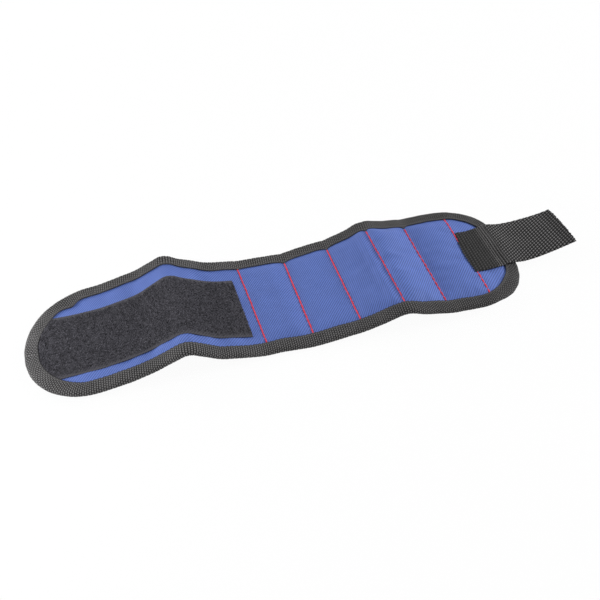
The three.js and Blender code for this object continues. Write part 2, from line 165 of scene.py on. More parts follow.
# The strap is sewn on askew: its shift across the band, its skew, its roll in degrees and its lift
STRAP_START_AT = LAST_ROW_AT - 2.3
STRAP_CUT_AT = STRAP_TIP_AT + 2.0
STRAP_COURSE = (STRAP_START_AT, BAND_END_AT, STRAP_CUT_AT)
STRAP_SHIFT = (0.6, 6.6, 4.1)
STRAP_SKEW = (0.075, -0.04, 0.0)
STRAP_ROLL = (0.0, 0.0, -7.0)
STRAP_LIFT = (0.0, 0.6, 0.0)
STRAP_TIP_BULGE = 0.9
STRAP_BASE_BULGE = 1.7

# The photograph's camera
VIEW_AZIMUTH = -16.52
VIEW_ELEVATION = 45.0
VIEW_DISTANCE = 504.8
VIEW_TARGET = (-6.8, -1.57, 0.0)
VIEW_LENS = 49.2

# Light on the band, and the floor's glow, its clearness to the camera, its height and its reach
WORLD_LIGHT = 0.43
FLOOR_GLOW = 1.12
FLOOR_GLOW_SHARE = 0.35
FLOOR_CLEARNESS = 0.93
FLOOR_HEIGHT = -0.35
FLOOR_REACH = 3000.0
FLOOR_COLOUR = (0.92, 0.92, 0.92, 1.0)
FLOOR_ROUGHNESS = 0.9
WHITE = (1.0, 1.0, 1.0, 1.0)

# Lamps: the place and the width of each in metres, and its power
LAMPS = {
    "key_light": ((1.9, -0.1, 0.85), 0.8, 29.0),
    "back_light": ((-0.45, 0.75, 0.5), 0.6, 2.9),
    "tail_light": ((-0.45, -0.04, 0.13), 0.15, 0.85),
}


# The middle line of the band

def lie_of_the_band():
    """Slope, x and z of the middle line at even steps along it."""
    tail = [TAIL_TIP, TAIL_RISE, RIDGE_UP, RIDGE_DOWN, TAIL_RUN_OUT]
    pockets = [(POCKET_PITCH, slope) for slope in POCKET_SLOPES]
    end = (END_LENGTH + BEND_HALF_SPAN, END_SLOPE)
    stretches = [*tail, *pockets, end, STRAP_RISE, STRAP_TIP]
    places = [0.0]
    slopes = [stretches[0][1]]
    along = 0.0
    for (length, slope), (_, next_slope) in zip(stretches, stretches[1:]):
        along += length
        places += [along - BEND_HALF_SPAN, along + BEND_HALF_SPAN]
        slopes += [slope, next_slope]
    places.append(STRAP_TIP_AT)
    slopes.append(stretches[-1][1])
    line = np.arange(0, STRAP_TIP_AT + LINE_SPARE, LINE_STEP)
    slope = np.radians(np.interp(line, places, slopes))
    middle = (slope[1:] + slope[:-1]) / 2
    x = np.concatenate([[0], np.cumsum(np.cos(middle) * LINE_STEP)])
    z = np.concatenate([[0], np.cumsum(np.sin(middle) * LINE_STEP)])
    hinge = next(joint for joint in frame["joints"] if joint["name"] == "row_1_fold")["pos_m"]
    x += hinge[0] / MM - np.interp(FIRST_ROW_AT, line, x)
    z += hinge[2] / MM - np.interp(FIRST_ROW_AT, line, z)
    return line, slope, x, z


LINE, LINE_SLOPE, LINE_X, LINE_Z = lie_of_the_band()


def smoothstep(low, high, value):
    """0 below the low value, 1 above the high one, and a smooth rise between them."""
    t = np.clip((value - low) / (high - low), 0, 1)
    return t * t * (3 - 2 * t)


def eased(places, values, u):
    """A value that goes smoothly through its values at those places along the band."""
    total = np.full(np.shape(u), float(values[0]))
    for start, end, before, after in zip(places, places[1:], values, values[1:]):
        total = total + (after - before) * smoothstep(start, end, u)
    return total


def hump(u, place, reach):
    """1 at that place and less away from it, along a bell curve."""
    return np.exp(-((u - place) / reach) ** 2)


def same_shape(*values):
    """The values as numbers, all spread to one shape."""
    return np.broadcast_arrays(*(np.asarray(value, float) for value in values))


def bend(u, v, w):
    """Points of the flat band, bent on to its waves, in metres."""
    u, v, w = same_shape(u, v, w)
    slope = np.interp(u, LINE, LINE_SLOPE)
    x = np.interp(u, LINE, LINE_X) - w * np.sin(slope)
    z = np.interp(u, LINE, LINE_Z) + w * np.cos(slope)
    return np.stack([x, v, z], -1) * MM


def lay_band(u, v, w):
    """Points of the flat band as it is sewn, bent on to its waves, in metres."""
    u, v, w = same_shape(u, v, w)
    stray = np.where(v > 0, eased(*FAR_EDGE, u), eased(*NEAR_EDGE, u))
    side = np.clip(v / POCKET_EDGE, -1, 1)
    near, far = eased(DRIFT_AT, NEAR_DRIFT, u), eased(DRIFT_AT, FAR_DRIFT, u)
    return bend(u + near + (far - near) * (1 + side) / 2, v + stray * side, w)


def strap_place(u, v, w):
    """Flat places of the straight strap, moved to where it is sewn on askew."""
    courses = (STRAP_SHIFT, STRAP_SKEW, STRAP_ROLL, STRAP_LIFT)
    shift, skew, roll, lift = (eased(STRAP_COURSE, course, u) for course in courses)
    roll = np.radians(roll)
    through = w - STRAP_ON_BINDING
    across = v * np.cos(roll) - through * np.sin(roll) + shift
    height = STRAP_ON_BINDING + lift + v * np.sin(roll) + through * np.cos(roll)
    return u + skew * v, across, height


def bend_strap(u, v, w):
    """Points of the straight strap, laid askew on the band and bent with it, in metres."""
    return bend(*strap_place(*same_shape(u, v, w)))


def bend_directions(lay, u, v, w, du, dv):
    """The unit directions along (du, dv) and out of the cloth at flat places."""
    reach = 0.2
    along = lay(u + reach * du, v + reach * dv, w) - lay(u - reach * du, v - reach * dv, w)
    out = lay(u, v, w + reach) - lay(u, v, w - reach)
    along /= np.linalg.norm(along, axis=-1, keepdims=True)
    out /= np.linalg.norm(out, axis=-1, keepdims=True)
    return along, out


def edges_at(u, inset):
    """The near and far edges of the band at places along it, on a line set in from its outline."""
    edges = []
    for side, tail_radius, end_radius in zip((-1, 1), TAIL_CORNERS, END_CORNERS):
        reach = np.full(np.shape(u), HALF_WIDTH - inset)
        for from_end, radius in ((u, tail_radius), (BAND_END_AT - u, end_radius)):
            rise = np.clip((radius - inset) ** 2 - (radius - from_end) ** 2, 0, None)
            corner = HALF_WIDTH - radius + np.sqrt(rise)
            reach = np.where(from_end < radius, np.minimum(reach, corner), reach)
        edges.append(side * reach)
    return edges


def ripple(u, v, seed, count, shortest, longest):
    """A smooth random field between about -1 and 1: plane waves of seeded lengths and directions."""
    draw = np.random.default_rng(seed)
    total = np.zeros(np.broadcast(u, v).shape)
    for _ in range(count):
        length = draw.uniform(shortest, longest)
        heading = draw.uniform(0, math.tau)
        phase = draw.uniform(0, math.tau)
        total += np.sin(math.tau * (u * math.cos(heading) + v * math.sin(heading)) / length + phase)
    return total / math.sqrt(count)


# Meshes

def grid_quads(index):
    """Quads of a grid of vertex numbers, facing up where the grid runs along +u and +v."""
    return np.stack([index[:-1, :-1], index[1:, :-1], index[1:, 1:], index[:-1, 1:]], -1).reshape(-1, 4)


def grid_normals(points):
    """Unit normals of a grid of points, on the side that its quads face."""
    normals = np.cross(np.gradient(points, axis=0), np.gradient(points, axis=1))
    return normals / np.linalg.norm(normals, axis=-1, keepdims=True)


def new_piece(name, points, faces, uv, material, corner_normals=None):
    """A mesh object in the frame, smooth, with its own map of the flat cloth in millimetres."""
    mesh = bpy.data.meshes.new(name)
    mesh.from_pydata(points.tolist(), [], faces)
    layer = mesh.uv_layers.new(name=CLOTH_MAP)
    corners = np.zeros(len(mesh.loops), np.int32)
    mesh.loops.foreach_get("vertex_index", corners)
    layer.uv.foreach_set("vector", uv[corners].astype(np.float32).ravel())
    mesh.polygons.foreach_set("use_smooth", np.ones(len(mesh.polygons), bool))
    if corner_normals is not None:
        mesh.normals_split_custom_set(corner_normals.tolist())
    mesh.materials.append(material)
    return linked(name, mesh)


def linked(name, data):
    """A new object in the scene."""
    thing = bpy.data.objects.new(name, data)
    bpy.context.scene.collection.objects.link(thing)
    return thing


def new_slab(name, slot, flat, top, bottom, material, part=slice(None)):
    """A closed slab between a part of two grids of points, with the smooth normals of the whole layer."""
    whole = (np.stack(flat, -1), top, bottom, grid_normals(top), -grid_normals(bottom))
    uv, top, bottom, *normals = (grid[part] for grid in whole)
    index = np.arange(top[..., 0].size * 2).reshape(2, *top.shape[:2])
    upper, lower = index
    upper_quads = grid_quads(upper)
    lower_quads = grid_quads(lower)[:, ::-1]
    rim = [np.concatenate([g[:-1, 0], g[-1, :-1], g[:0:-1, -1], g[0, :0:-1]]) for g in index]
    after = [np.roll(r, -1) for r in rim]
    walls = np.stack([rim[1], after[1], after[0], rim[0]], -1)
    points = np.concatenate([top.reshape(-1, 3), bottom.reshape(-1, 3)])
    diagonals = [points[walls[:, k + 2]] - points[walls[:, k]] for k in (0, 1)]
    wall_normals = np.cross(*diagonals)
    wall_normals /= np.maximum(np.linalg.norm(wall_normals, axis=-1, keepdims=True), TINY)
    smooth = np.concatenate([n.reshape(-1, 3) for n in normals])
    surface_quads = np.concatenate([upper_quads, lower_quads])
    corner_normals = np.concatenate([smooth[surface_quads.ravel()], np.repeat(wall_normals, 4, axis=0)])
    faces = np.concatenate([surface_quads, walls]).tolist()
    maps = np.concatenate([uv.reshape(-1, 2)] * 2)
    piece = new_piece(name, points, faces, maps, material, corner_normals)
    return piece


def kept_at(places, k):
    """The numbers of the places along the band that fold k's piece covers, halfway to the next folds."""
    start = SPLITS_AT[k - 1] if k > 0 else -np.inf
    end = SPLITS_AT[k] if k < len(SPLITS_AT) else np.inf
    return np.nonzero((places >= start) & (places <= end))[0]


def span_of(places, k):
    """The same as one slice, for places in rising order."""
    kept = kept_at(places, k)
    return slice(kept[0], kept[-1] + 1)


def area_between(edges, places):
    """The flat area in square metres between two edges of the band, over those places along it."""
    near, far = edges(places)
    return np.trapz(far - near, places) * MM * MM


def blend_over_fold(piece, k):
    """Bakes the piece's placing into its mesh; the ends of fold k's zone are found but not used."""
    start = bend(FOLDS_AT[k] - FOLD_HALF_ZONE, 0, 0)
    end = bend(FOLDS_AT[k] + FOLD_HALF_ZONE, 0, 0)
    BODIES[k + 1]
    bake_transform(piece)


def bodies_dressed_by(k):
    """The bodies whose nodes fold k's piece stands for."""
    return BODIES[k:] if k == len(FOLDS_AT) - 1 else BODIES[k:k + 1]


def fine_stations(start, end, step):
    """Places along the band at about even steps, with every fold and split among them."""
    fixed = sorted({start, end, *(p for p in (*FOLDS_AT, *SPLITS_AT) if start < p < end)})
    runs = [np.linspace(a, b, max(2, math.ceil((b - a) / step) + 1))[:-1] for a, b in zip(fixed, fixed[1:])]
    return np.concatenate([*runs, [end]])


def closing_in(start, end, count):
    """Places that close up towards the start, as even steps round a corner do."""
    turns = np.linspace(0, math.pi / 2, count)[1:-1]
    return start + (end - start) * (1 - np.cos(turns))


# Node trees

class Socket:
    """A value in a node tree. Arithmetic on it adds Math nodes."""

    def __init__(self, tree, socket):
        self.tree = tree
        self.socket = socket

    def other(self, name):
        return Socket(self.tree, self.socket.node.outputs[name])

    def __add__(self, value):
        return self.tree.math("ADD", self, value)

    def __sub__(self, value):
        return self.tree.math("SUBTRACT", self, value)

    def __rsub__(self, value):
        return self.tree.math("SUBTRACT", value, self)

    def __mul__(self, value):
        return self.tree.math("MULTIPLY", self, value)

    def __truediv__(self, value):
        return self.tree.math("DIVIDE", self, value)

    def __pow__(self, value):
        return self.tree.math("POWER", self, value)

    __radd__ = __add__
    __rmul__ = __mul__


class Tree:
    """A node tree that is written as Python calls and expressions."""

    def __init__(self, tree):
        self.tree = tree

    def add(self, kind, settings=None, sockets=None):
        """A node of that kind: its settings are set first, then its sockets. Gives its first output."""
        node = self.tree.nodes.new(kind)
        for name, value in (settings or {}).items():
            setattr(node, name, value)
        for key, value in (sockets or {}).items():
            if isinstance(value, Socket):
                self.tree.links.new(value.socket, node.inputs[key])
            else:
                node.inputs[key].default_value = value
        return Socket(self, node.outputs[0]) if node.outputs else None

    def math(self, operation, *values):
        return self.add("ShaderNodeMath", {"operation": operation}, dict(enumerate(values)))

    def wave(self, cycles):
        """A wave between 0 and 1."""
        return self.math("SINE", cycles * math.tau) * 0.5 + 0.5

    def mix(self, factor, first, second):
        """A colour between two."""
        mixed = self.add("ShaderNodeMix", {"data_type": "RGBA"}, {0: factor, 6: first, 7: second})
        return Socket(self, mixed.socket.node.outputs[2])

    def vector(self, x, y, z):
        return self.add("ShaderNodeCombineXYZ", None, {0: x, 1: y, 2: z})

    def cloth_place(self):
        """Where a point is on the flat cloth, along and across, in millimetres."""
        place = self.add("ShaderNodeUVMap", {"uv_map": CLOTH_MAP})
        parts = self.add("ShaderNodeSeparateXYZ", None, {0: place})
        return parts, parts.other("Y")

    def object_place(self):
        return self.add("ShaderNodeTexCoord").other("Object")

    def brick(self, along, across, pitch, row, break_power):
        """Round bumps in columns, every other column shifted by half a row."""
        column = self.math("FLOOR", along / pitch)
        bump = self.math("ABSOLUTE", self.math("SINE", along * (math.pi / pitch)))
        breaks = self.math("ABSOLUTE", self.math("SINE", (across / row + column * 0.5) * math.pi))
        return bump * breaks ** break_power

    def ridges(self, along, across, wave):
        """Round ridges, 0 between them and 1 on top, with so many along and across to the millimetre."""
        turns = (along * wave[0] + across * wave[1]) * math.pi
        return self.math("ABSOLUTE", self.math("SINE", turns))

    def ramp(self, value, start, end):
        """0 before the start and 1 after the end, with a smooth rise between them."""
        sockets = {"Value": value, "From Min": start, "From Max": end}
        return self.add("ShaderNodeMapRange", {"interpolation_type": "SMOOTHSTEP"}, sockets)

    def noise(self, place, scale, detail=2.0):
        """A soft noise between about 0 and 1."""
        return self.add("ShaderNodeTexNoise", None, {"Vector": place, "Scale": scale, "Detail": detail})

    def spread(self, place, scale, detail=2.0):
        """A soft noise on both sides of 0."""
        return self.noise(place, scale, detail) - 0.5

    def tones(self, lightness, colour, shades):
        """A colour between its dark and its pale shade."""
        dark, pale = shades
        return self.mix(lightness, shade(colour, dark), shade(colour, pale))

    def random(self, low, high, seed):
        """A random number for each point."""
        drawn = self.add("FunctionNodeRandomValue", {"data_type": "FLOAT"}, {2: low, 3: high, "Seed": seed})
        return Socket(self, drawn.socket.node.outputs[1])

    def named(self, name, data_type):
        """A value that each point of the mesh has under that name."""
        return self.add("GeometryNodeInputNamedAttribute", {"data_type": data_type}, {"Name": name})


def start_material(name, fixed):
    """A material and its tree. The shader's fixed values are set on its own sockets."""
    material = bpy.data.materials.new(name)
    material.use_nodes = True
    shader = material.node_tree.nodes["Principled BSDF"]
    for key, value in fixed.items():
        shader.inputs[key].default_value = value
    return material, Tree(material.node_tree), shader


def finish_material(material, nodes, shader, colour, roughness, height, depth):
    """Links what varies over the surface: its colour, its roughness and its fine relief."""
    bump = nodes.add("ShaderNodeBump", None, {"Height": height, "Distance": depth * MM, "Strength": 1.0})
    for key, value in {"Base Color": colour, "Roughness": roughness, "Normal": bump}.items():
        nodes.tree.links.new(value.socket, shader.inputs[key])
    return material


def shade(colour, factor):
    """A colour made darker or lighter, for a node's colour socket."""
    return (*(min(c * factor, 1.0) for c in colour[:3]), 1.0)


# Materials

# The dark and the pale shade of each material's colour
TWILL_SHADES = (0.5, 1.5)
TAPE_SHADES = (0.1, 3.6)
PAINTED_TIP_SHADES = (0.8, 5.6)
WEBBING_SHADES = (0.04, 4.2)
PILE_SHADES = (0.2, 3.2)
MATTED_SHADES = (0.6, 1.4)
THREAD_SHADES = (0.95, 1.45)
PLATING_SHADES = (0.85, 1.1)

# The twill's ribs to the millimetre, the yarns in each, and the shares of ribs and yarns in its relief
TWILL_ALONG = 0.58
TWILL_ACROSS = -0.53
YARNS_PER_TWILL = 3
TWILL_SHARE = 0.66
YARN_SHARE = 0.17
RIDGE_MEAN = 2 / math.pi

# The tape's ribs and their breaks in millimetres
RIB_PITCH = 1.37
RIB_ROW = 1.54
RIB_SLANT = 0.08
RIB_BREAK = 0.7

# Painted light on the tape: paler at the tail's tip, and paler towards the tail than towards the strap;
# their reach in x, in metres
PAINTED_TIP_REACH = (-0.172, -0.148)
PAINTED_TAIL_REACH = (-0.06, 0.15)
BASE_LIGHTNESS = 0.66
PAINTED_TAIL_GAIN = 0.52
PAINTED_TIP_GAIN = 0.4

# The tape's pale selvage, and the painted shade along its free edge, in millimetres from its free edge
TAPE_SELVAGE = (1.0, 1.8)
TAPE_EDGE_SHADE = (0.1, 0.35)

# The webbing's ribs and columns along and across, to the millimetre
WEBBING_RIBS = (0.255, -0.48)
WEBBING_COLUMNS = (0.47, 0.015)
WEBBING_STEP = 0.29

# Where the strap's look changes, in millimetres: round its tacks, where shade and highlight are painted,
# before and after them, and at its hem
GROOVE_SHADE_FADE = (0.4, 1.2)
LEAD_TO_TACKS = 3.0
FLAT_AFTER_TACKS = (0.0, 1.0, 3.0, 9.0)
HEM = (8.0, 5.0)


def woven_fabric(name, colour, contrast, sheen):
    """A twill weave of round yarns, with soft changes of tone and painted shade in the grooves between its
    ribs.
    """
    material, nodes, shader = start_material(name, {"Specular IOR Level": sheen})
    along, across = nodes.cloth_place()
    rib = nodes.ridges(along, across, (TWILL_ALONG, TWILL_ACROSS))
    warp = nodes.ridges(along, across, (TWILL_ALONG * YARNS_PER_TWILL, 0.0))
    weft = nodes.ridges(along, across, (0.0, TWILL_ACROSS * YARNS_PER_TWILL))
    height = rib * TWILL_SHARE + warp * YARN_SHARE + weft * YARN_SHARE
    place = nodes.vector(along, across, 0.0)
    tone = nodes.spread(place, scale=0.09)
    fleck = nodes.spread(place, scale=1.7, detail=4.0)
    # Painted shade and highlight: darker in the grooves of the relief and paler on its ridges
    lightness = (height - RIDGE_MEAN) * contrast + tone * 0.22 + fleck * 0.2 + 0.5
    base = nodes.tones(lightness, colour, TWILL_SHADES)
    roughness = 0.78 - height * 0.12
    return finish_material(material, nodes, shader, base, roughness, height, depth=0.12)


def ribbed_tape(name, colour):
    """Woven tape: painted highlight on the ribs and painted shade between them, with broken rows across."""
    material, nodes, shader = start_material(name, {"Specular IOR Level": 0.25})
    along, across = nodes.cloth_place()
    rib = nodes.brick(along + across * RIB_SLANT, across, RIB_PITCH, RIB_ROW, RIB_BREAK)
    place = nodes.vector(along, across, 0.0)
    fleck = nodes.spread(place, scale=1.3, detail=4.0)
    tone = nodes.spread(place, scale=0.08)
    x = nodes.add("ShaderNodeSeparateXYZ", None, {0: nodes.object_place()})
    # Painted light: the tape is painted paler at the tail's tip and towards the tail, where more light falls
    # on it
    tip_highlight = 1.0 - nodes.ramp(x, *PAINTED_TIP_REACH)
    tail_highlight = 1.0 - nodes.ramp(x, *PAINTED_TAIL_REACH)
    painted_light = BASE_LIGHTNESS + tail_highlight * PAINTED_TAIL_GAIN + tip_highlight * PAINTED_TIP_GAIN
    # Painted highlight on the ribs and painted shade between them, with the yarn's own flecks and tone
    lightness = (rib ** 2.0 * 1.3 + fleck * 0.8 + tone * 0.4 - 0.02) * painted_light
    selvage = 1.0 - nodes.ramp(across, *TAPE_SELVAGE)
    edge_shade = 1.0 - nodes.ramp(across, *TAPE_EDGE_SHADE)
    base = nodes.tones(lightness, colour, TAPE_SHADES)
    # Painted highlight: paler shades of the tape at the tail's tip
    base = nodes.mix(tip_highlight * 0.2, base, nodes.tones(lightness, colour, PAINTED_TIP_SHADES))
    base = nodes.mix(selvage * 0.4, base, shade(colour, 2.1))
    # Painted shade: a dark line along the tape's free edge, where its wall stands in shadow
    base = nodes.mix(edge_shade * 0.8, base, shade(colour, 0.1))
    roughness = 0.9 - rib * 0.1
    return finish_material(material, nodes, shader, base, roughness, fleck, depth=0.15)


def coarse_webbing(name, colour):
    """Webbing of round yarns: painted highlight on each bump of the weave and painted shade in the holes
    between them.
    """
    material, nodes, shader = start_material(name, {"Specular IOR Level": 0.3})
    along, across = nodes.cloth_place()
    ribs = nodes.ridges(along, across, WEBBING_RIBS)
    columns = nodes.ridges(along, across, WEBBING_COLUMNS)
    place = nodes.vector(along, across, 0.0)
    fleck = nodes.spread(place, scale=1.6, detail=4.0)
    strand = nodes.wave(across * 2.4 + fleck * 0.6)
    first, last = tack_rows()[[0, -1]]
    # Painted shade over the tacked stretch, with a painted highlight on the ridge between each two tack
    # grooves
    fade_start, fade_end = GROOVE_SHADE_FADE
    sewn = nodes.ramp(along, first - fade_end, first - fade_start)
    sewn = sewn - nodes.ramp(along, last + fade_start, last + fade_end)
    ridge_highlight = nodes.wave((along - first) / TACK_ROW_PITCH - 0.25) ** 3.0
    on_band = 1.0 - nodes.ramp(along, first - LEAD_TO_TACKS, last)
    hem = nodes.ramp(along, *(STRAP_CUT_AT - place for place in HEM))
    places = [last + place for place in FLAT_AFTER_TACKS]
    flat = nodes.ramp(along, *places[:2]) - nodes.ramp(along, *places[2:])
    # Painted highlight on each bump and painted shade in the holes between them
    bump = (ribs + on_band * (0.45 - ribs * 0.45)) ** 2.6 * columns ** 1.6
    lightness = bump * 1.6 + strand * 0.08 + fleck * 0.35 - 0.12
    # The tacked stretch is darkened as painted shade
    lightness = lightness * (1.0 - on_band * 0.85) * (1.0 - hem * 0.4) * (1.0 - sewn * 0.9)
    # Painted highlight on the ridges between the tack grooves
    lightness = lightness * (1.0 - flat * 0.3) + ridge_highlight * sewn * 0.95
    base = nodes.tones(lightness, colour, WEBBING_SHADES)
    roughness = 0.85 - bump * 0.15
    return finish_material(material, nodes, shader, base, roughness, strand + fleck, depth=0.1)


def pile_material(name, colour):
    """Soft loops of many tones."""
    material, nodes, shader = start_material(name, {"Specular IOR Level": 0.15})
    tone = nodes.add("ShaderNodeAttribute", {"attribute_name": "tone"}).other("Fac")
    place = nodes.object_place()
    patch = nodes.noise(place, scale=950.0, detail=2.0)
    lightness = tone * tone * 0.8 + (patch - 0.5) * 1.9 + 0.12
    base = nodes.tones(lightness, colour, PILE_SHADES)
    return finish_material(material, nodes, shader, base, patch * 0.05 + 0.92, patch, depth=0.1)


def matted_cloth(name, colour):
    """A dull felted or foamed surface, on object coordinates."""
    material, nodes, shader = start_material(name, {"Specular IOR Level": 0.15})
    place = nodes.object_place()
    grain = nodes.noise(place, scale=1800.0, detail=4.0)
    tone = nodes.noise(place, scale=120.0)
    base = nodes.tones(grain * 0.6 + tone * 0.4, colour, MATTED_SHADES)
    return finish_material(material, nodes, shader, base, grain * 0.1 + 0.88, grain, depth=0.15)


def twisted_thread(name, colour):
    """Thread of twisted yarn with a slight shine."""
    fixed = {"Specular IOR Level": 0.4, "Sheen Weight": 0.6, "Sheen Tint": shade(colour, 1.0)}
    material, nodes, shader = start_material(name, fixed)
    place = nodes.object_place()
    parts = nodes.add("ShaderNodeSeparateXYZ", None, {0: place})
    ply = nodes.wave((parts + parts.other("Y")) * 2200.0)
    fleck = nodes.noise(place, scale=2500.0)
    base = nodes.tones(ply * 0.5 + fleck * 0.5, colour, THREAD_SHADES)
    return finish_material(material, nodes, shader, base, 0.6 - ply * 0.15, ply, depth=0.1)


def plated_metal(name, colour):
    """Bright plating with fine scuffs."""
    material, nodes, shader = start_material(name, {"Metallic": 1.0})
    place = nodes.object_place()
    scuff = nodes.noise(place, scale=900.0, detail=5.0)
    cloud = nodes.noise(place, scale=90.0)
    base = nodes.tones(cloud, colour, PLATING_SHADES)
    return finish_material(material, nodes, shader, base, scuff * 0.2 + 0.2, scuff, depth=0.02)


# Geometry node trees for what repeats

def start_geometry_tree(name, inputs):
    """A geometry tree with its named inputs: (name, socket type, default)."""
    group = bpy.data.node_groups.new(name, "GeometryNodeTree")
    group.interface.new_socket("Geometry", in_out="INPUT", socket_type="NodeSocketGeometry")
    for label, kind, default in inputs:
        socket = group.interface.new_socket(label, in_out="INPUT", socket_type=kind)
        if default is not None:
            socket.default_value = default
    group.interface.new_socket("Geometry", in_out="OUTPUT", socket_type="NodeSocketGeometry")
    nodes = Tree(group)
    return group, nodes, nodes.add("NodeGroupInput")


def finish_geometry_tree(nodes, instances, entry):
    """Makes the instances real, gives them the material and sends them out."""
    real = nodes.add("GeometryNodeRealizeInstances", None, {0: instances})
    sockets = {"Geometry": real, "Material": entry.other("Material")}
    dressed = nodes.add("GeometryNodeSetMaterial", None, sockets)
    nodes.add("NodeGroupOutput", None, {0: dressed})


def bent_thread(nodes, points, radius, steps, sides):
    """A thread through three points, as a tube with closed ends."""
    start, middle, end = points
    ends = {"Resolution": steps, "Start": start, "Middle": middle, "End": end}
    curve = nodes.add("GeometryNodeCurveQuadraticBezier", None, ends)
    ring = nodes.add("GeometryNodeCurvePrimitiveCircle", None, {"Resolution": sides, "Radius": radius})
    sockets = {"Curve": curve, "Profile Curve": ring, "Fill Caps": True}
    tube = nodes.add("GeometryNodeCurveToMesh", None, sockets)
    return nodes.add("GeometryNodeSetShadeSmooth", None, {"Geometry": tube})


# The names of the two directions at a point that carries a thread
PLANTED_AXES = {"Primary Axis": "along", "Secondary Axis": "out"}


def planted(nodes, entry, thread):
    """The thread at every point of the mesh, along and out as the point's own directions say."""
    axes = {"primary_axis": "X", "secondary_axis": "Z"}
    directions = {axis: nodes.named(name, "FLOAT_VECTOR") for axis, name in PLANTED_AXES.items()}
    turn = nodes.add("FunctionNodeAxesToRotation", axes, directions)
    sockets = {"Points": entry, "Instance": thread, "Rotation": turn}
    return nodes.add("GeometryNodeInstanceOnPoints", None, sockets)


def stitch_tree():
    """Stitches: each a thread that rises out of the cloth, arches over it and dives in again."""
    inputs = (
        ("Stitch Length", "NodeSocketFloat", 2.6 * MM),
        ("Thread Radius", "NodeSocketFloat", 0.3 * MM),
        ("Material", "NodeSocketMaterial", None),
    )
    group, nodes, entry = start_geometry_tree("sewn_stitches", inputs)
    half = entry.other("Stitch Length") * 0.5
    radius = entry.other("Thread Radius")
    start = nodes.vector(half * -1.0, 0.0, radius * -0.6)
    end = nodes.vector(half, 0.0, radius * -0.6)
    middle = nodes.vector(0.0, 0.0, radius * 1.6)
    thread = bent_thread(nodes, (start, middle, end), radius, steps=6, sides=7)
    finish_geometry_tree(nodes, planted(nodes, entry, thread), entry)
    return group


def hook_tree():
    """Hooks of stiff yarn, bent over at the top."""
    inputs = (
        ("Hook Height", "NodeSocketFloat", 0.9 * MM),
        ("Hook Radius", "NodeSocketFloat", 0.09 * MM),
        ("Material", "NodeSocketMaterial", None),
    )
    group, nodes, entry = start_geometry_tree("hook_field", inputs)
    height = entry.other("Hook Height")
    start = nodes.vector(0.0, 0.0, height * -0.1)
    middle = nodes.vector(height * 0.1, 0.0, height * 1.9)
    end = nodes.vector(height * 0.7, 0.0, height * 0.45)
    thread = bent_thread(nodes, (start, middle, end), entry.other("Hook Radius"), steps=6, sides=4)
    finish_geometry_tree(nodes, planted(nodes, entry, thread), entry)
    return group


# The smallest and the largest loops of the pile, as shares of their height
LOOP_SIZES = (0.65, 1.15)


def pile_tree():
    """Loops of soft yarn, scattered over the patch and turned at random."""
    inputs = (
        ("Loops per Area", "NodeSocketFloat", 2.0e6),
        ("Loop Height", "NodeSocketFloat", 0.8 * MM),
        ("Yarn Radius", "NodeSocketFloat", 0.1 * MM),
        ("Material", "NodeSocketMaterial", None),
    )
    group, nodes, entry = start_geometry_tree("loop_pile", inputs)
    density = entry.other("Loops per Area") * nodes.named("pile", "FLOAT")
    sockets = {"Mesh": entry, "Density": density, "Seed": 7}
    points = nodes.add("GeometryNodeDistributePointsOnFaces", {"distribute_method": "RANDOM"}, sockets)
    height = entry.other("Loop Height")
    start = nodes.vector(height * -0.55, 0.0, height * -0.2)
    middle = nodes.vector(height * 0.25, height * 0.2, height * 1.9)
    end = nodes.vector(height * 0.55, 0.0, height * -0.2)
    thread = bent_thread(nodes, (start, middle, end), entry.other("Yarn Radius"), steps=4, sides=3)
    angle = nodes.random(0.0, math.tau, seed=3)
    spin = nodes.add("FunctionNodeEulerToRotation", None, {0: nodes.vector(0.0, 0.0, angle)})
    turn_sockets = {"Rotation": points.other("Rotation"), "Rotate By": spin}
    turn = nodes.add("FunctionNodeRotateRotation", {"rotation_space": "LOCAL"}, turn_sockets)
    size = nodes.random(*LOOP_SIZES, seed=5)
    sockets = {"Points": points, "Instance": thread, "Rotation": turn, "Scale": size}
    loops = nodes.add("GeometryNodeInstanceOnPoints", None, sockets)
    settings = {"data_type": "FLOAT", "domain": "INSTANCE"}
    sockets = {"Geometry": loops, "Name": "tone", "Value": nodes.random(0.0, 1.0, seed=11)}
    toned = nodes.add("GeometryNodeStoreNamedAttribute", settings, sockets)
    finish_geometry_tree(nodes, toned, entry)
    return group


def grow(piece, group, values):
    """Runs a geometry tree on a piece and keeps its result as the piece's plain mesh."""
    modifier = piece.modifiers.new(group.name, "NODES")
    modifier.node_group = group
    for item in group.interface.items_tree:
        if item.in_out == "INPUT" and item.name in values:
            modifier[item.identifier] = values[item.name]
    depsgraph = bpy.context.evaluated_depsgraph_get()
    mesh = bpy.data.meshes.new_from_object(piece.evaluated_get(depsgraph))
    seedling = piece.data
    piece.modifiers.clear()
    piece.data = mesh
    mesh.name = piece.name
    bpy.data.meshes.remove(seedling)
    return piece


def seed_piece(name, lay, u, v, w, du, dv):
    """Loose points on the band for a tree to plant threads on, each with its two directions."""
    u, v, w, du, dv = (np.ravel(c).astype(float) for c in np.broadcast_arrays(u, v, w, du, dv))
    mesh = bpy.data.meshes.new(name)
    mesh.from_pydata(lay(u, v, w).tolist(), [], [])
    for label, directions in zip(PLANTED_AXES.values(), bend_directions(lay, u, v, w, du, dv)):
        attribute = mesh.attributes.new(label, "FLOAT_VECTOR", "POINT")
        attribute.data.foreach_set("vector", directions.astype(np.float32).ravel())
    return linked(name, mesh)


# Shapes of the cloth

# The outer fabric's height at a row, how deep each row is drawn in, and how it rises from the binding
ROW_HEIGHT = 1.45
ROW_DIPS = (0.0, 0.2, 0.15, 0.45, 0.6, 0.0)
ROW_DIP_REACH = 2.8
ROW_RISE = 8.0
ROW_RISE_POWER = 2.4
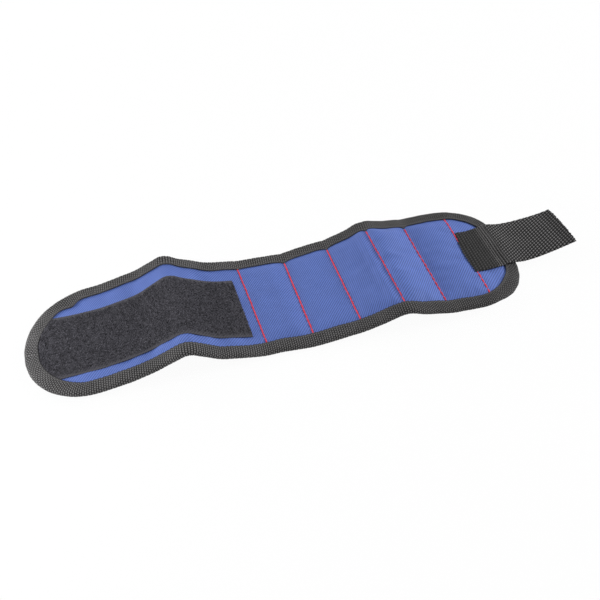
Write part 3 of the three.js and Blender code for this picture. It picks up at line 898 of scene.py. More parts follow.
# Its way down to the band's end after the last row, and its ripples where it lies open
RUN_DOWN = 8.0
OPEN_CLOTH = 5.0
OPEN_RIPPLE = 0.3
# Rolls of cloth beside rows: the place along the band, the height and the reach of each, and their ends
ROLLS = ((160.0, 1.2, 5.2), (222.3, 1.5, 2.8))
ROLL_ENDS = 4.0
# The fabric's height over a magnet, the flat it keeps clear, and the slope round that
OVER_MAGNET = 2.2
MAGNET_HALF = (10.4, 26.5)
MAGNET_SLOPE = 3.2
# How soon the lining is full away from a row and from the binding, and by how much
LINING_RISE = (2.0, 2.6)
LINING_FULL = 1.06

# The cloth simulation of the pockets, at ten times their size, and how the fill of each lies
SETTLE_SCALE = 0.01
SETTLE_FRAMES = 24
POCKET_CELLS = 24
ACROSS_CELLS = 54
SNUG_ACROSS = 0.9
FILL_LEAN = (-0.6, -0.8, 0.8, -0.8, 0.0)
FULLNESS = (1.0, 1.0, 1.3, 2.8, 2.0)
FILL_BIAS = (1.0, 1.0, 1.0, 0.6, 1.0)


def from_seams(u, v):
    """How far a place is from the nearest row and from the binding, and whether it is in a pocket."""
    into = (u - FIRST_ROW_AT) % POCKET_PITCH
    from_row = np.minimum(into, POCKET_PITCH - into)
    from_edge = np.clip(POCKET_EDGE - np.abs(v), 0, None)
    return from_row, from_edge, (u > FIRST_ROW_AT) & (u < LAST_ROW_AT)


def pocket_sheet():
    """A flat sheet over all the pockets, sewn down at the rows and the edges, and its cells' places."""
    along = np.linspace(0, POCKET_PITCH * POCKET_COUNT, POCKET_CELLS * POCKET_COUNT + 1)
    across = np.linspace(-POCKET_EDGE, POCKET_EDGE, ACROSS_CELLS + 1)
    return np.meshgrid(along, across, indexing="ij")


def pressed_over_magnets(along, across, height):
    """The sheet's heights, kept clear of the magnets under it and smoothed."""
    pocket = np.minimum(along // POCKET_PITCH, POCKET_COUNT - 1).astype(int)
    height = height * np.array(FULLNESS)[pocket]
    off_middle = np.abs(along % POCKET_PITCH - POCKET_PITCH / 2)
    outside = np.maximum(off_middle - MAGNET_HALF[0], np.abs(across) - MAGNET_HALF[1])
    clear = (OVER_MAGNET - ROW_HEIGHT) * np.clip(1 - outside / MAGNET_SLOPE, 0, 1)
    height = np.maximum(height, clear)
    for _ in range(2):
        wide = np.pad(height, 1, mode="edge")
        height = (wide[:-2, 1:-1] + wide[2:, 1:-1] + wide[1:-1, :-2] + wide[1:-1, 2:] + 4 * height) / 8
    return height


@functools.cache
def settled_pockets(slack, pressure):
    """How far the outer fabric stands over its rows, from a cloth simulation.

    The fabric is a little longer than the pockets. It is sewn down at the rows and the edges, and the
    pressure of the fill lifts it between them."""
    along, across = pocket_sheet()
    index = np.arange(along.size).reshape(along.shape)
    start = np.stack([along, across * (1 + slack * SNUG_ACROSS), 0 * along], -1).reshape(-1, 3)
    mesh = bpy.data.meshes.new("pocket_sheet")
    mesh.from_pydata((start * SETTLE_SCALE).tolist(), [], grid_quads(index).tolist())
    sheet = linked("pocket_sheet", mesh)
    scene = bpy.context.scene
    seams = np.concatenate([index[::POCKET_CELLS].ravel(), index[:, 0], index[:, -1]])
    sewn = sheet.vertex_groups.new(name="sewn")
    sewn.add(seams.tolist(), 1.0, "REPLACE")
    filled = sheet.vertex_groups.new(name="filled")
    for row, numbers in enumerate(index):
        pocket = min(row // POCKET_CELLS, POCKET_COUNT - 1)
        side = 2 * (row / POCKET_CELLS - pocket) - 1
        filled.add(numbers.tolist(), 0.5 + 0.5 * FILL_LEAN[pocket] * side, "REPLACE")
    cloth = sheet.modifiers.new("settle", "CLOTH")
    values = {
        "quality": 6,
        "mass": 0.1,
        "tension_stiffness": 30,
        "compression_stiffness": 30,
        "shear_stiffness": 12,
        "bending_stiffness": 10,
        "shrink_min": -slack,
        "use_pressure": True,
        "uniform_pressure_force": pressure,
        "vertex_group_mass": sewn.name,
        "vertex_group_pressure": filled.name,
    }
    for name, value in values.items():
        setattr(cloth.settings, name, value)
    cloth.settings.effector_weights.gravity = 0
    cloth.collision_settings.use_collision = False
    for number in range(1, SETTLE_FRAMES + 1):
        scene.frame_set(number)
    settled = sheet.evaluated_get(bpy.context.evaluated_depsgraph_get()).data
    points = np.zeros(along.size * 3, np.float32)
    settled.vertices.foreach_get("co", points)
    bpy.data.objects.remove(sheet)
    bpy.data.meshes.remove(mesh)
    scene.frame_set(1)
    return pressed_over_magnets(along, across, points.reshape(*along.shape, 3)[..., 2] / SETTLE_SCALE)


def between_cells(grid, along, across):
    """A grid of heights read between its points by a smooth spline."""
    total = np.zeros(np.shape(along))
    parts = []
    for place, count in zip((along, across), grid.shape):
        cell = np.clip(np.floor(place), 0, count - 2).astype(int)
        t = place - cell
        weights = ((1 - t) ** 3, 3 * t ** 3 - 6 * t ** 2 + 4, -3 * t ** 3 + 3 * t ** 2 + 3 * t + 1, t ** 3)
        parts.append([(np.clip(cell + k - 1, 0, count - 1), weight / 6) for k, weight in enumerate(weights)])
    for i, first in parts[0]:
        for j, second in parts[1]:
            total += grid[i, j] * first * second
    return total


def outer_height(u, v, sizes):
    """The outer fabric's upper surface over the band's middle surface: a soft dome over each pocket."""
    u, v = np.broadcast_arrays(u, v)
    _, from_edge, inside = from_seams(u, v)
    settled = settled_pockets(sizes.pocket_slack, sizes.pocket_pressure)
    along = np.clip((u - FIRST_ROW_AT) / POCKET_PITCH, 0, POCKET_COUNT)
    pocket = np.minimum(along.astype(int), POCKET_COUNT - 1)
    along = (pocket + (along - pocket) ** np.array(FILL_BIAS)[pocket]) * POCKET_CELLS
    across = np.clip(v / POCKET_EDGE + 1, 0, 2) * ACROSS_CELLS / 2
    rolls = sum(height * hump(u, place, reach) for place, height, reach in ROLLS)
    fill = between_cells(settled, along, across) + rolls * (1 - np.exp(-from_edge / ROLL_ENDS))
    fill = np.where(inside, fill, 0)
    lifted = np.where(u < FIRST_ROW_AT, smoothstep(LOOP_END_AT, FIRST_ROW_AT, u), 1)
    lifted = np.where(u > LAST_ROW_AT, 1 - smoothstep(LAST_ROW_AT, LAST_ROW_AT + RUN_DOWN, u), lifted)
    near, far = edges_at(u, BINDING_COVER)
    open_cloth = smoothstep(0, OPEN_CLOTH, np.minimum(v - near, far - v))
    slack = OPEN_RIPPLE * ripple(u, v, seed=5, count=5, shortest=9, longest=24) * open_cloth * (1 - lifted)
    dips = sum(dip * hump(u, row, ROW_DIP_REACH) for row, dip in zip(ROWS_AT, ROW_DIPS))
    risen = 1 - (1 - np.clip(from_edge / ROW_RISE, 0, 1)) ** ROW_RISE_POWER
    rows = ((ROW_HEIGHT - SEAM_HALF) * lifted - dips) * risen
    return SEAM_HALF + rows + fill + slack


def lining_height(u, v):
    """The lining's lower surface, which stays above the table."""
    from_row, from_edge, inside = from_seams(u, v)
    fill = (1 - np.exp(-from_row / LINING_RISE[0])) * (1 - np.exp(-from_edge / LINING_RISE[1]))
    fill = np.where(inside, np.minimum(fill * LINING_FULL, 1), 0)
    return -(SEAM_HALF + (POCKET_HALF - SEAM_HALF) * fill)


def ridges(along, across, wave):
    """Round ridges, 0 between them and 1 on top, with so many along and across to the millimetre."""
    return np.abs(np.sin(math.pi * (along * wave[0] + across * wave[1])))


def brick(along, across, pitch, row, break_power):
    """Round bumps in columns, every other column shifted by half a row: 0 between them and 1 on top."""
    shifted = across / row + np.floor(along / pitch) * 0.5
    breaks = np.abs(np.sin(math.pi * shifted)) ** break_power
    return np.abs(np.sin(math.pi * along / pitch)) * breaks


# Settings

def size_property(name, description, default, minimum, **options):
    shared = {"name": name, "description": description, "default": default, "min": minimum}
    return bpy.props.FloatProperty(**shared, **options)


def length_property(name, description, default, minimum=0.0):
    """A length that is given here in millimetres."""
    return size_property(name, description, default * MM, minimum * MM, unit="LENGTH")


class WristbandSizes(bpy.types.PropertyGroup):
    """Sizes of the band's cloth and thread that a user may change."""

    pocket_slack: size_property(
        "Pocket Slack", "Spare length of the outer fabric over a pocket, as a share of it",
        0.0035, 0.0, max=0.05, precision=4, subtype="FACTOR",
    )
    pocket_pressure: size_property("Pocket Pressure", "Pressure that lifts the outer fabric", 3.0, 0.1)
    stitch_length: length_property("Stitch Length", "Length of one stitch of the pocket rows", 3.75, 0.5)
    stitch_pitch: length_property("Stitch Pitch", "Distance from one stitch to the next", 3.9, 0.6)
    thread_radius: length_property("Thread Radius", "Radius of the thread of the pocket rows", 0.44, 0.05)
    rib_height: length_property("Rib Height", "Height of the ribs across the edge binding", 0.3)
    weave_height: length_property("Weave Height", "Height of the bumps of the webbing", 0.45)
    pile_height: length_property("Pile Height", "Height of the loops of the patch", 0.75, 0.1)
    pile_density: size_property("Pile Density", "Loops of the patch in a square millimetre", 2.2, 0.1)


def colour_property(name, description, default):
    return bpy.props.FloatVectorProperty(
        name=name, description=description, default=default, subtype="COLOR", min=0.0, max=1.0,
    )


class WristbandColours(bpy.types.PropertyGroup):
    """Colours of the band's materials."""

    fabric: colour_property("Outer Fabric", "Woven fabric of the outer face", (0.098, 0.161, 0.47))
    lining: colour_property("Lining", "Woven cloth on the wrist side", (0.03, 0.03, 0.033))
    binding: colour_property("Binding", "Tape folded round the edge", (0.053, 0.0516, 0.0523))
    pile: colour_property("Loop Pile", "Soft half of the fastener", (0.076, 0.074, 0.086))
    webbing: colour_property("Webbing", "Strap and hook tape", (0.05, 0.0485, 0.049))
    thread: colour_property("Row Thread", "Thread of the pocket rows", (0.95, 0.045, 0.065))
    foam: colour_property("Pad Foam", "Foam behind the magnets", (0.1, 0.1, 0.11))
    magnet: colour_property("Magnet", "Plating of the magnets", (0.62, 0.62, 0.63))


# Operators, one for each group of like pieces

class DressOperator:
    """What the dressing operators share."""

    bl_options = {"REGISTER", "UNDO"}

    def execute(self, context):
        self.make(context.scene.wristband_sizes, context.scene.wristband_colours)
        return {"FINISHED"}


def magnets_under(k):
    """The magnets that fold k's piece of cloth lies on."""
    return [f"magnet_bar_{body[-1]}" for body in BODIES[k:k + 2] if body.startswith("pocket")]


# Steps along and columns across the layers, and steps round their corners
LAYER_STEP = 0.8
LAYER_COLUMNS = 97
CORNER_STEPS = 40


def grid_between(edges, stations, columns):
    """Flat places in rows across the band, each from its near edge to its far one."""
    u, share = np.meshgrid(stations, np.linspace(0, 1, columns), indexing="ij")
    near, far = edges(u)
    return u, near + (far - near) * share


def layer_over_folds(name, material, upper_at, lower_at, slot, node_prefix, carried_by):
    """A layer of cloth as long as the band, in pieces that each cover one fold."""
    start, end = PANEL_INSET, BAND_END_AT - PANEL_INSET
    tail = closing_in(start, max(TAIL_CORNERS), CORNER_STEPS)
    head = closing_in(end, BAND_END_AT - max(END_CORNERS), CORNER_STEPS)
    stations = np.unique(np.concatenate([fine_stations(start, end, LAYER_STEP), tail, head]))
    edges = functools.partial(edges_at, inset=PANEL_INSET)
    u, v = grid_between(edges, stations, LAYER_COLUMNS)
    top, bottom = lay_band(u, v, upper_at(u, v)), lay_band(u, v, lower_at(u, v))
    for k in range(len(FOLDS_AT)):
        part = span_of(stations, k)
        piece = new_slab(f"{name}_{BODIES[k]}", slot, (u, v), top, bottom, material, part)
        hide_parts(*(f"{node_prefix}_{body}" for body in bodies_dressed_by(k)))
        cut = stations[part]
        area_between(edges, cut)
        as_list(carried_by(k))
        blend_over_fold(piece, k)


class WRISTBAND_OT_outer_fabric(DressOperator, bpy.types.Operator):
    """Makes the blue outer fabric, puffed over the magnets and drawn in at the rows"""

    bl_idname = "wristband.outer_fabric"
    bl_label = "Outer Fabric"

    def make(self, sizes, colours):
        material = woven_fabric("woven_blue", colours.fabric, contrast=1.1, sheen=0.36)
        layer_over_folds(
            "outer_fabric", material,
            lambda u, v: outer_height(u, v, sizes), lambda u, v: outer_height(u, v, sizes) - FABRIC,
            "outer_fabric", "outer_panel", lambda k: magnets_under(k) or [f"lining_cloth_{BODIES[k]}"],
        )


class WRISTBAND_OT_lining(DressOperator, bpy.types.Operator):
    """Makes the lining on the wrist side"""

    bl_idname = "wristband.lining"
    bl_label = "Lining"

    def make(self, sizes, colours):
        material = woven_fabric("lining_black", colours.lining, contrast=0.3, sheen=0.15)
        layer_over_folds(
            "lining_cloth", material,
            lambda u, v: lining_height(u, v) + FABRIC, lining_height,
            "lining_fabric", "lining", lambda k: [f"edge_tape_{BODIES[k]}"],
        )


def edge_path(step):
    """The band's edge as a closed path from the middle of the tail, by the near side.

    Gives each point's place, its direction into the band and its length along the path."""
    near_tail, far_tail = TAIL_CORNERS
    near_end, far_end = END_CORNERS
    middle = (near_tail - far_tail) / 2
    runs = []

    def add_line(u, v, inward):
        u, v = same_shape(u, v)
        runs.append((u[:-1], v[:-1], np.tile(inward, (len(u) - 1, 1))))

    def add_corner(centre_u, centre_v, radius, start):
        turns = np.linspace(start, start + math.pi / 2, math.ceil(radius * math.pi / 2 / step) + 1)[:-1]
        out = np.stack([np.cos(turns), np.sin(turns)], -1)
        runs.append((centre_u + radius * out[:, 0], centre_v + radius * out[:, 1], -out))

    def across(start, end):
        return np.linspace(start, end, math.ceil(abs(end - start) / step) + 1)

    def straight(tail_radius, end_radius):
        return fine_stations(tail_radius, BAND_END_AT - end_radius, step)

    add_line(0.0, across(middle, near_tail - HALF_WIDTH), (1, 0))
    add_corner(near_tail, near_tail - HALF_WIDTH, near_tail, math.pi)
    add_line(straight(near_tail, near_end), -HALF_WIDTH, (0, 1))
    add_corner(BAND_END_AT - near_end, near_end - HALF_WIDTH, near_end, -math.pi / 2)
    add_line(BAND_END_AT, across(near_end - HALF_WIDTH, HALF_WIDTH - far_end), (-1, 0))
    add_corner(BAND_END_AT - far_end, HALF_WIDTH - far_end, far_end, 0.0)
    add_line(straight(far_tail, far_end)[::-1], HALF_WIDTH, (0, -1))
    add_corner(far_tail, HALF_WIDTH - far_tail, far_tail, math.pi / 2)
    add_line(0.0, across(HALF_WIDTH - far_tail, middle), (1, 0))
    u, v, inward = (np.concatenate(parts) for parts in zip(*runs))
    steps = np.hypot(np.diff(u), np.diff(v))
    return u, v, inward, np.concatenate([[0], np.cumsum(steps)])


# The tape's section: the points of a face and of the nose, and the droop of its free edge
FACE_POINTS = 18
NOSE_POINTS = 13
TAPE_DROOP = 0.12
TAPE_DROOPS_FROM = 4.0
# Its steps along a rib, its wavering height and cover, and how a pinch flattens it
STEPS_PER_RIB = 6
TAPE_WAVER = 0.08
COVER_WAVER = 0.22
PINCH_FLATTENS = 0.12
TAPE_SHARP_ANGLE = 60.0
# How far the rows of stitches pull in its outer edge and its free edge, on the near and the far side
ROW_PULL_REACH = 2.4
FIRST_ROW_PULL = 0.4
EDGE_PULL = (0.15, 0.6)
COVER_PULL = (0.2, 1.8)
# A pucker of the far tape: its place along the band, its reach and its depth
PUCKER = (26.0, 5.0, 2.6)
# Where the near tape is slim, the reach of each place, and by how much
SLIM_PLACES = ((LAST_ROW_AT, 14.0), (122.0, 15.0))
SLIM_BY = 0.8


def binding_section():
    """The folded tape's outer line from its upper free edge round the nose, and its inner line back.

    Each point has its distance from the band's edge, its height and its share of the ribs."""
    outer = []
    for d in np.linspace(BINDING_COVER, BINDING_HALF, FACE_POINTS):
        droop = TAPE_DROOP * smoothstep(TAPE_DROOPS_FROM, BINDING_COVER, d)
        outer.append((d, BINDING_HALF - droop, 1.0))
    turns = np.linspace(0, math.pi, NOSE_POINTS)[1:-1]
    nose = [(BINDING_HALF * (1 - math.sin(turn)), BINDING_HALF * math.cos(turn), 1.0) for turn in turns]
    under = [(d, -h, share) for d, h, share in reversed(outer)]
    inner = [(BINDING_COVER, -BINDING_INNER_HALF, 0.0), (BINDING_TAPE, -BINDING_INNER_HALF, 0.0)]
    inner += [(BINDING_TAPE, BINDING_INNER_HALF, 0.0), (BINDING_COVER, BINDING_INNER_HALF, 0.0)]
    return np.array([*outer, *nose, *under, *inner])


class WRISTBAND_OT_binding(DressOperator, bpy.types.Operator):
    """Makes the ribbed tape that is folded round the edge of the band"""

    bl_idname = "wristband.binding"
    bl_label = "Edge Binding"

    def make(self, sizes, colours):
        material = ribbed_tape("ribbed_binding", colours.binding)
        u, v, inward, length = edge_path(RIB_PITCH / STEPS_PER_RIB)
        d, h, share = binding_section().T
        lines = np.hypot(np.diff(d, append=d[:1]), np.diff(h, append=h[:1]))
        tape_place = np.concatenate([[0], np.cumsum(lines[:-1])])
        pinch, drawn_in, cover = self.drawn(u, v)
        slanted = length[:, None] + RIB_SLANT * tape_place
        rib = brick(slanted, tape_place, RIB_PITCH, RIB_ROW, RIB_BREAK)
        lift = sizes.rib_height / MM * (rib - 0.5) * share
        waver = ripple(length[:, None], tape_place, seed=9, count=6, shortest=4, longest=14)
        lift = lift + TAPE_WAVER * waver * share
        out_d = np.gradient(h)
        out_h = -np.gradient(d)
        scale = np.maximum(np.hypot(out_d, out_h), TINY)
        out_d, out_h = -out_d / scale, -out_h / scale
        reach = np.clip(d / BINDING_COVER, 0, 1)
        away = d + pinch[:, None] + (drawn_in + cover)[:, None] * reach + lift * out_d
        height = (h + lift * out_h) * (1 - PINCH_FLATTENS * pinch[:, None])
        points = lay_band(u[:, None] + inward[:, :1] * away, v[:, None] + inward[:, 1:] * away, height)
        uv = np.stack(np.broadcast_arrays(length[:, None], tape_place), -1)
        tape_width = lines[share > 0].sum()
        for k in range(len(FOLDS_AT)):
            self.make_span(k, u, points, uv, material, tape_width)

    def drawn(self, u, v):
        """How far the rows draw in the tape's outer edge and its free edge, and how its cover varies."""
        rows = sum(np.exp(-np.abs(u - row) / ROW_PULL_REACH) for row in ROWS_AT[1:-1])
        rows = rows + FIRST_ROW_PULL * np.exp(-np.abs(u - ROWS_AT[0]) / ROW_PULL_REACH)
        far = v > 0
        pucker_at, pucker_reach, pucker_depth = PUCKER
        pucker = pucker_depth * hump(u, pucker_at, pucker_reach) * far
        slim = sum(hump(u, place, reach) for place, reach in SLIM_PLACES)
        waver = COVER_WAVER * ripple(u, v, seed=17, count=5, shortest=14, longest=40)
        cover = pucker - SLIM_BY * slim * ~far + waver
        edge_pull, cover_pull = (np.where(far, *pull[::-1]) for pull in (EDGE_PULL, COVER_PULL))
        return rows * edge_pull, rows * cover_pull, cover

    def make_span(self, k, u, points, uv, material, tape_width):
        """The tape over fold k, near and far, or in one run round the tail."""
        inside = kept_at(u, k)
        runs = np.split(inside, np.nonzero(np.diff(inside) > 1)[0] + 1)
        if k == 0:
            runs = [np.concatenate([runs[1], runs[0]])]
        rings, faces, maps = [], [], []
        for run in runs:
            base = sum(len(r) for r in rings)
            count = points.shape[1]
            index = base + np.arange(len(run) * count).reshape(len(run), count)
            wrapped = np.concatenate([index, index[:, :1]], axis=1)
            faces += grid_quads(wrapped)[:, ::-1].tolist()
            faces += [index[0].tolist(), index[-1][::-1].tolist()]
            rings.append(points[run].reshape(-1, 3))
            maps.append(uv[run].reshape(-1, 2))
        rings, maps = np.concatenate(rings), np.concatenate(maps)
        piece = new_piece(f"edge_tape_{BODIES[k]}", rings, faces, maps, material)
        piece.data.set_sharp_from_angle(angle=math.radians(TAPE_SHARP_ANGLE))
        bodies = tuple(bodies_dressed_by(k))
        nodes = [n for n in frame["nodes"] if n.startswith("binding_") and n.endswith(bodies)]
        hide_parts(*nodes)
        blend_over_fold(piece, k)


# The loop patch: its tuck under the tape, its edges, how they are trimmed, and its bare selvage
PATCH_TUCK = 1.0
PATCH_EDGES = (LOOP_OFFSET - LOOP_WIDTH / 2, LOOP_OFFSET + LOOP_WIDTH / 2)
PATCH_TRIM_AT = (12.0, 32.0, 60.0, 92.0, LOOP_END_AT)
PATCH_TRIM_NEAR = (2.0, 2.0, 2.0, 2.0, 1.2)
PATCH_TRIM_FAR = (0.6, 1.8, 1.8, 0.0, 0.0)
PATCH_SELVAGE = (1.4, 2.6)
# Its steps along, its columns across and its steps round the corner
PATCH_STEP = 1.0
PATCH_COLUMNS = 61
PATCH_CORNER_STEPS = 30
# Heights over the seam: its underside, its ground under the tape, clear of the tape and under the pile
PATCH_UNDERSIDE = 0.05
PATCH_TUCKED = 0.3
PATCH_CLEAR = 0.25
PILE_GROUND = 0.35
PILE_WAVER = 0.08
PILE_FROM = 0.3


def patch_selvages(u):
    """The near and far selvages of the loop patch, which is not quite straight."""
    near = PATCH_EDGES[0] + eased(PATCH_TRIM_AT, PATCH_TRIM_NEAR, u)
    return near, PATCH_EDGES[1] - eased(PATCH_TRIM_AT, PATCH_TRIM_FAR, u)


def patch_edges(u):
    """The near and far edges of the loop patch, which goes under the binding at the tail."""
    edges = edges_at(u, BINDING_COVER - PATCH_TUCK)
    selvages = patch_selvages(u)
    return np.maximum(selvages[0], edges[0]), np.minimum(selvages[1], edges[1])


class WRISTBAND_OT_loop_patch(DressOperator, bpy.types.Operator):
    """Makes the loop patch on the tail, with its selvages and its pile"""

    bl_idname = "wristband.loop_patch"
    bl_label = "Loop Patch"

    def make(self, sizes, colours):
        base = woven_fabric("patch_selvage", shade(colours.pile, 0.95), contrast=0.8, sheen=0.15)
        pile = pile_material("loop_pile", colours.pile)
        tree = pile_tree()
        start = BINDING_COVER - PATCH_TUCK
        corner = closing_in(start, max(TAIL_CORNERS), PATCH_CORNER_STEPS)
        stations = np.unique(np.concatenate([fine_stations(start, LOOP_END_AT, PATCH_STEP), corner]))
        u, v = grid_between(patch_edges, stations, PATCH_COLUMNS)
        in_near, in_far = edges_at(u, BINDING_COVER)
        near_selvage, far_selvage = patch_selvages(u)
        from_edge = np.minimum(v - near_selvage, far_selvage - v)
        from_tape = np.minimum(np.minimum(v - in_near, in_far - v), u - BINDING_COVER)
        rise = smoothstep(*PATCH_SELVAGE, from_edge) * smoothstep(0.0, 1.0, from_tape)
        bare = SEAM_HALF + PATCH_TUCKED + PATCH_CLEAR * smoothstep(-0.4, 0.6, from_tape)
        waver = PILE_WAVER * ripple(u, v, seed=3, count=6, shortest=5, longest=15)
        upper = bare + PILE_GROUND * rise + waver * rise
        top, bottom = lay_band(u, v, upper), lay_band(u, v, SEAM_HALF + PATCH_UNDERSIDE)
        replaced = {0: ["loop_patch_tail_tip"], 1: ["loop_patch_tail_mid", "loop_patch_tail_root"]}
        for k, nodes in replaced.items():
            part = span_of(stations, k) if k == 0 else slice(span_of(stations, 0).stop - 1, None)
            piece = new_slab(f"patch_ground_{BODIES[k]}", "loop_pile", (u, v), top, bottom, base, part)
            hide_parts(*nodes)
            loops = self.pile_piece(k, top[part], rise[part], tree, pile, sizes)
            cut = stations[part]
            area = area_between(patch_edges, cut)
            blend_over_fold(piece, k)
            blend_over_fold(loops, k)

    def pile_piece(self, k, ground, rise, tree, material, sizes):
        """Loops over the part of the ground that is inside the selvages."""
        index = np.arange(ground[..., 0].size).reshape(ground.shape[:2])
        points = ground.reshape(-1, 3)
        faces = grid_quads(index).tolist()
        piece = new_piece(f"loop_pile_{BODIES[k]}", points, faces, points[:, :2], material)
        mask = piece.data.attributes.new("pile", "FLOAT", "POINT")
        mask.data.foreach_set("value", (rise.ravel() > PILE_FROM).astype(np.float32))
        density = sizes.pile_density / MM / MM
        values = {"Loops per Area": density, "Loop Height": sizes.pile_height, "Material": material}
        grow(piece, tree, values)
        return piece


# How far a row runs past the near and the far tape: the first and the last row, and those between them
LONG_ROW_ENDS = (0.0, 1.2)
SHORT_ROW_ENDS = (-0.6, -2.0)
ROW_WOBBLE = 0.08
STITCH_LIFT = 0.05
# The strap's end lies over this much of the last row
STRAP_COVERS_ROW = (-13.0, 8.0)


def face_down(piece, first=0):
    """Threads that stand on the underside, from that one on, point downwards."""
    for item in list(piece.data.attributes["out"].data)[first:]:
        item.vector = -item.vector


class WRISTBAND_OT_stitch_rows(DressOperator, bpy.types.Operator):
    """Makes the rows of red stitches that close the pockets, on both faces of the band"""

    bl_idname = "wristband.stitch_rows"
    bl_label = "Stitched Rows"

    def make(self, sizes, colours):
        material = twisted_thread("row_thread", colours.thread)
        tree = stitch_tree()
        pitch = sizes.stitch_pitch / MM
        for number, row in enumerate(ROWS_AT, start=1):
            near, far = LONG_ROW_ENDS if row in (FIRST_ROW_AT, LAST_ROW_AT) else SHORT_ROW_ENDS
            first = -POCKET_EDGE - near + pitch / 2
            last = POCKET_EDGE + far - pitch / 2
            v = np.arange(first, last + 0.1, pitch)
            u = np.full(len(v), row)
            wobble = ROW_WOBBLE * ripple(v, u, seed=number, count=3, shortest=6, longest=15)
            seen = ~self.under_strap(row, v)
            surface = outer_height(u, v, sizes)[seen]
            w = np.concatenate([surface + STITCH_LIFT, lining_height(u, v) - STITCH_LIFT])
            u = row + np.concatenate([wobble[seen], wobble])
            v = np.concatenate([v[seen], v])
            piece = seed_piece(f"row_stitches_{number}", lay_band, u, v, w, du=0.0, dv=1.0)
            face_down(piece, len(surface))
            thread = {"Stitch Length": sizes.stitch_length, "Thread Radius": sizes.thread_radius}
            grow(piece, tree, {**thread, "Material": material})
            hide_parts(f"stitch_row_{number}")
            blend_over_fold(piece, number + 1)

    def under_strap(self, row, v):
        """Which stitches of a row are hidden by the strap that is sewn over it."""
        near, far = STRAP_COVERS_ROW
        return (v > near) & (v < far) & (row == LAST_ROW_AT)


# The webbing: its scalloped sides, its thin edge, the slack in it, and the level that its weave stands on
SCALLOP = 0.25
EDGE_REACH = 1.2
EDGE_THICKNESS = 0.45
STRAP_WAVER = 0.15
WEAVE_LEVEL = 0.6
UNDERSIDE_WEAVE = 0.6
LAP_CLEARANCE = 0.05
STRAP_BLEND_HALF = 3.5
# The grooves of the tacks: their half width, their depth, their ends and how flat the weave is in them
GROOVE_REACH = 0.45
GROOVE_DEPTH = 0.8
GROOVE_ENDS = 1.5
GROOVE_FLATTENS = 0.7
# The bulge of the tip, its middle and half its width, the reach of both cut ends, and their fray
TIP_BULGE_MIDDLE = 4.0
TIP_BULGE_HALF = 18.0
TIP_REACH = 8.0
BASE_REACH = 3.0
FRAY = 0.25
# The tack thread: a stitch's length and radius, the rows' ends, and how deep it lies and how dark it is
TACK_LENGTH = 2.2
TACK_RADIUS = 0.24
TACK_ENDS = (1.2, 1.0)
TACK_DEPTH = 0.3
TACK_SHADE = 0.4


def strap_middle(u):
    """Height of the strap's middle: on the panel, then up over the binding."""
    step_end = BAND_END_AT - BINDING_COVER
    on_binding = smoothstep(step_end - STRAP_STEP_LENGTH, step_end, u)
    return STRAP_ON_PANEL + (STRAP_ON_BINDING - STRAP_ON_PANEL) * on_binding


def tack_rows():
    """Places along the band of the rows that tack the strap down."""
    first = BAND_END_AT - BINDING_COVER - TACKS_TO_BINDING
    return first + TACK_ROW_PITCH * np.arange(TACK_ROWS)


